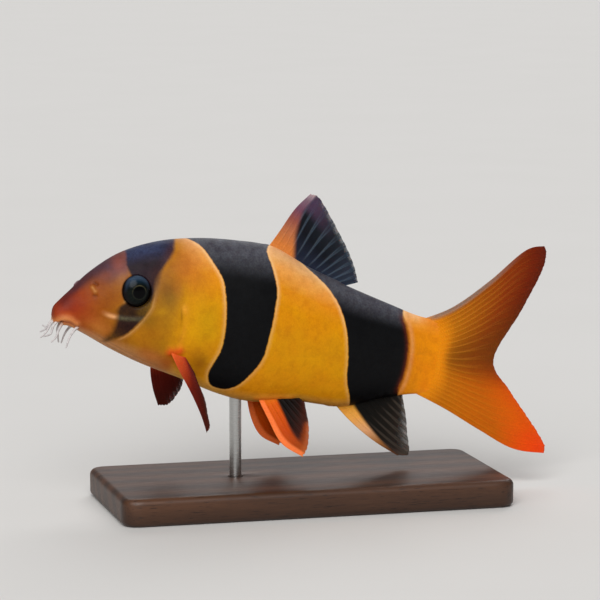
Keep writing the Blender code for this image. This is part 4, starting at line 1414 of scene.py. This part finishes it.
def steel_material(settings):
    """Stainless steel rod, ground round and brushed along its turning.

    The eye sees a grey metal with fine rings of polish round the rod.
    """
    material, shader, node = new_material("brushed stainless steel")
    # Brush marks are a few hundredths of a millimetre in life, drawn at 0.15 mm so that they show
    flattened = node("Mapping", {"Vector": node("TexCoord", output="Object"), "Scale": (0.02, 0.02, 1.0)})
    marks = node("TexNoise", (flattened, PER_MM / 0.15, 2.0, 0.6))
    set_shader(
        shader, Base_Color=settings.steel, Metallic=1.0,
        Roughness=node("MapRange", (marks, 0.3, 0.7, 0.22, 0.36)),
        Normal=node("Bump", {"Height": marks, "Strength": 0.25, "Distance": 0.01 * MM}),
    )
    return material


def rounded_box_loop(half_x, half_y, corner):
    """Points of a rectangle with round corners, at even turns, as x and y.

    A point is the corner circle's centre plus the circle's radius in the turn's direction, and
    the turns are held at the corners while the straight runs are passed.
    """
    way = unit_circle(BLOCK_SIDES)
    square = way * (np.array((half_x, half_y)) / np.maximum(np.abs(way), 1e-9)).min(axis=1, keepdims=True)
    inner = np.clip(square, (corner - half_x, corner - half_y), (half_x - corner, half_y - corner))
    out = square - inner
    length = np.linalg.norm(out, axis=1, keepdims=True)
    return inner + out / np.maximum(length, 1e-9) * corner


def make_base(settings):
    """The block: loops from the bottom of the rod's hole, over the top and edges, to the underside.

    The hole's loops are circles round the rod, the outer ones are rounded rectangles, and the
    loops on the top between them blend from one to the other in even steps. The edge loops move
    in by radius times one minus the cosine of a quarter turn and up by radius times its sine.
    """
    low, high = (np.array(corner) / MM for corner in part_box("stand_base"))
    half_x, half_y = (high[:2] - low[:2]) / 2
    top = high[2]
    edge = settings.edge / MM
    hole_floor = top - ROD_SINK - HOLE_CLEARANCE

    def hole_loop(radius, height):
        """A circle round the rod, and its height."""
        return unit_circle(BLOCK_SIDES) * radius + ROD_PLACE, height

    def side_loop(inset, height):
        """The block's outline moved in by inset, and its height."""
        return rounded_box_loop(half_x - inset, half_y - inset, BLOCK_CORNER + edge - inset), height

    inner, outer = hole_loop(HOLE_RADIUS + HOLE_BEVEL, top)[0], side_loop(edge, top)[0]
    loops = [
        hole_loop(HOLE_RADIUS / 2, hole_floor), hole_loop(HOLE_RADIUS, hole_floor),
        hole_loop(HOLE_RADIUS, top - HOLE_BEVEL), (inner, top),
    ]
    loops += [(inner + (outer - inner) * k, top) for k in np.linspace(0, 1, 10)[1:]]
    bend = np.linspace(0, math.pi / 2, 9)[1:]
    loops += [side_loop(edge * (1 - math.sin(t)), top - edge * (1 - math.cos(t))) for t in bend]
    loops += [side_loop(edge * (1 - math.cos(t)), edge * (1 - math.sin(t))) for t in bend]
    loops.append((outer * 0.5, 0.0))
    rings = [np.hstack([flat, np.full((BLOCK_SIDES, 1), height)]) for flat, height in loops]
    points = np.vstack([*rings, ((*ROD_PLACE, hole_floor), (0.0, 0.0, 0.0))])
    faces = capped_rings(len(rings), BLOCK_SIDES)
    add_piece("walnut_base", points * MM, faces, wood_material(settings), ("stand_base",))


def make_rod(settings):
    """The rod: a turned profile from its foot in the hole to its rounded top inside the belly."""
    low, high = (np.array(corner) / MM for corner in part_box("stand_rod"))
    foot, top = low[2], high[2] + ROD_INTO_BELLY
    rows, sides = ROD_GRID
    heights = np.concatenate([[foot, foot + 0.2], np.linspace(foot + 0.4, top - 0.5, rows), [top - 0.2, top]])
    radii = np.full(len(heights), ROD_RADIUS)
    radii[0] -= 0.2
    radii[-2:] -= (0.15, 0.5)
    flat = unit_circle(sides)[None] * radii[:, None, None] + ROD_PLACE
    rings = np.concatenate([flat, np.broadcast_to(heights[:, None, None], flat.shape[:2] + (1,))], axis=2)
    points = np.vstack([rings.reshape(-1, 3), ((*ROD_PLACE, foot), (*ROD_PLACE, top))])
    faces = capped_rings(len(heights), sides)
    add_piece("steel_rod", points * MM, faces, steel_material(settings), ("stand_rod",))


def add_light(name, strength, softness, away):
    """A soft light from the direction away, as wide as the softness angle seen from the fish."""
    light = bpy.data.lights.new(name, "SUN")
    light.energy = strength
    light.angle = softness
    lamp = bpy.data.objects.new(name, light)
    lamp.rotation_euler = Vector(away).to_track_quat("Z", "Y").to_euler()
    bpy.context.scene.collection.objects.link(lamp)


def floor_material(settings):
    """Matt paper sweep: a plain pale surface with the faintest tooth."""
    material, shader, node = new_material("matt paper floor")
    tone = node("TexNoise", (node("TexCoord", output="Object"), PER_MM / 60.0))
    tone = node("MapRange", (tone, 0.3, 0.7, 0.0, 0.3))
    colour = stained(node, settings.floor, (tone, 1.0, (0.96, 0.96, 0.955)))
    set_shader(shader, Base_Color=colour, Roughness=0.85, IOR=1.45)
    return material


def make_floor(settings):
    """A round floor, 8 m across: a disc of rings of points."""
    circle = np.hstack([unit_circle(FLOOR_SIDES), np.zeros((FLOOR_SIDES, 1))])
    radii = np.array((0.3, 1.0, 2.0, 4.0))[:, None, None]
    points = np.vstack([(circle[None] * radii).reshape(-1, 3), ((0.0, 0.0, 0.0),)])
    quads = grid_quads(len(radii), FLOOR_SIDES, closed=True)[:, ::-1]
    middle = fan(np.arange(FLOOR_SIDES), len(points) - 1)
    mesh = bpy.data.meshes.new("floor")
    mesh.from_pydata(points.tolist(), [], quads.tolist() + middle.tolist())
    mesh.materials.append(floor_material(settings))
    floor = bpy.data.objects.new("floor", mesh)
    bpy.context.scene.collection.objects.link(floor)


def make_camera():
    """The camera at the photograph's angle: a little ahead of the fish and a little above it."""
    data = bpy.data.cameras.new("camera")
    data.lens = CAMERA_LENS
    data.clip_start = 0.01
    camera = bpy.data.objects.new("camera", data)
    away = Vector((
        -math.sin(CAMERA_AHEAD) * math.cos(CAMERA_ELEVATION),
        -math.cos(CAMERA_AHEAD) * math.cos(CAMERA_ELEVATION),
        math.sin(CAMERA_ELEVATION),
    ))
    camera.location = Vector(CAMERA_TARGET) + away * CAMERA_DISTANCE
    camera.rotation_euler = (-away).to_track_quat("-Z", "Y").to_euler()
    bpy.context.scene.collection.objects.link(camera)
    bpy.context.scene.camera = camera


class LOACH_OT_skin(bpy.types.Operator):
    """Builds the banded skin over head, trunk and tail stalk"""

    bl_idname = "loach.skin"
    bl_label = "Skin"

    def execute(self, context):
        make_skin(context.scene.loach_skin)
        return {"FINISHED"}


class LOACH_OT_eyes(bpy.types.Operator):
    """Builds the two eyes"""

    bl_idname = "loach.eyes"
    bl_label = "Eyes"

    def execute(self, context):
        make_eyes(context.scene.loach_eyes)
        return {"FINISHED"}


class LOACH_OT_median_fins(bpy.types.Operator):
    """Builds the dorsal, anal and tail fins"""

    bl_idname = "loach.median_fins"
    bl_label = "Median Fins"

    def execute(self, context):
        settings = context.scene.loach_fins
        material = fin_material("rayed median fin", 0.3, settings)
        for name in ("dorsal_fin", "anal_fin", "caudal_fin"):
            make_fin(name, material, settings)
        return {"FINISHED"}


class LOACH_OT_paired_fins(bpy.types.Operator):
    """Builds the pectoral and pelvic fins of both sides"""

    bl_idname = "loach.paired_fins"
    bl_label = "Paired Fins"

    def execute(self, context):
        settings = context.scene.loach_fins
        material = fin_material("rayed paired fin", 0.35, settings)
        for kind in ("pectoral", "pelvic"):
            for word in ("left", "right"):
                make_fin(f"{kind}_fin_{word}", material, settings)
        return {"FINISHED"}


class LOACH_OT_barbels(bpy.types.Operator):
    """Builds the eight barbels round the mouth"""

    bl_idname = "loach.barbels"
    bl_label = "Barbels"

    def execute(self, context):
        make_barbels(context.scene.loach_barbels)
        return {"FINISHED"}


class LOACH_OT_stand(bpy.types.Operator):
    """Builds the walnut base and the steel rod"""

    bl_idname = "loach.stand"
    bl_label = "Stand"

    def execute(self, context):
        make_base(context.scene.loach_stand)
        make_rod(context.scene.loach_stand)
        return {"FINISHED"}


class LOACH_OT_stage(bpy.types.Operator):
    """Builds the pale floor, the soft lights and the camera"""

    bl_idname = "loach.stage"
    bl_label = "Stage"

    def execute(self, context):
        settings = context.scene.loach_stage
        scene = context.scene
        make_floor(settings)
        add_light("key softbox", settings.key_strength, settings.softness, (-0.36, -0.95, 0.78))
        add_light("rear softbox", settings.rear_strength, settings.softness, (0.35, 0.8, 0.9))
        world = bpy.data.worlds.new("studio")
        world.use_nodes = True
        backdrop = world.node_tree.nodes["Background"]
        backdrop.inputs["Color"].default_value = (*linear("F4F5F8"), 1.0)
        backdrop.inputs["Strength"].default_value = settings.sky_strength
        scene.world = world
        scene.view_settings.view_transform = "Standard"
        make_camera()
        return {"FINISHED"}


class LOACH_PT_panel(bpy.types.Panel):
    """Lists the builders of the loach"""

    bl_idname = "LOACH_PT_panel"
    bl_label = "Clown Loach"
    bl_space_type = "VIEW_3D"
    bl_region_type = "UI"
    bl_category = "Loach"

    def draw(self, context):
        for maker, group in BUILDERS:
            self.layout.operator(maker.bl_idname)
            settings = getattr(context.scene, group)
            for name in settings.bl_rna.properties.keys():
                if name not in ("rna_type", "name"):
                    self.layout.prop(settings, name)


GROUPS = {
    "loach_skin": LoachSkinSettings,
    "loach_eyes": LoachEyeSettings,
    "loach_fins": LoachFinSettings,
    "loach_barbels": LoachBarbelSettings,
    "loach_stand": LoachStandSettings,
    "loach_stage": LoachStageSettings,
}
BUILDERS = (
    (LOACH_OT_skin, "loach_skin"),
    (LOACH_OT_eyes, "loach_eyes"),
    (LOACH_OT_median_fins, "loach_fins"),
    (LOACH_OT_paired_fins, "loach_fins"),
    (LOACH_OT_barbels, "loach_barbels"),
    (LOACH_OT_stand, "loach_stand"),
    (LOACH_OT_stage, "loach_stage"),
)


def register():
    for name, group in GROUPS.items():
        bpy.utils.register_class(group)
        setattr(bpy.types.Scene, name, PointerProperty(type=group))
    for maker, _ in BUILDERS:
        bpy.utils.register_class(maker)
    bpy.utils.register_class(LOACH_PT_panel)


def unregister():
    bpy.utils.unregister_class(LOACH_PT_panel)
    for maker, _ in BUILDERS:
        bpy.utils.unregister_class(maker)
    for name, group in GROUPS.items():
        delattr(bpy.types.Scene, name)
        bpy.utils.unregister_class(group)


def main():
    register()
    bpy.ops.loach.skin()
    bpy.ops.loach.eyes()
    bpy.ops.loach.median_fins()
    bpy.ops.loach.paired_fins()
    bpy.ops.loach.barbels()
    bpy.ops.loach.stand()
    bpy.ops.loach.stage()


if __name__ == "__main__":
    main()
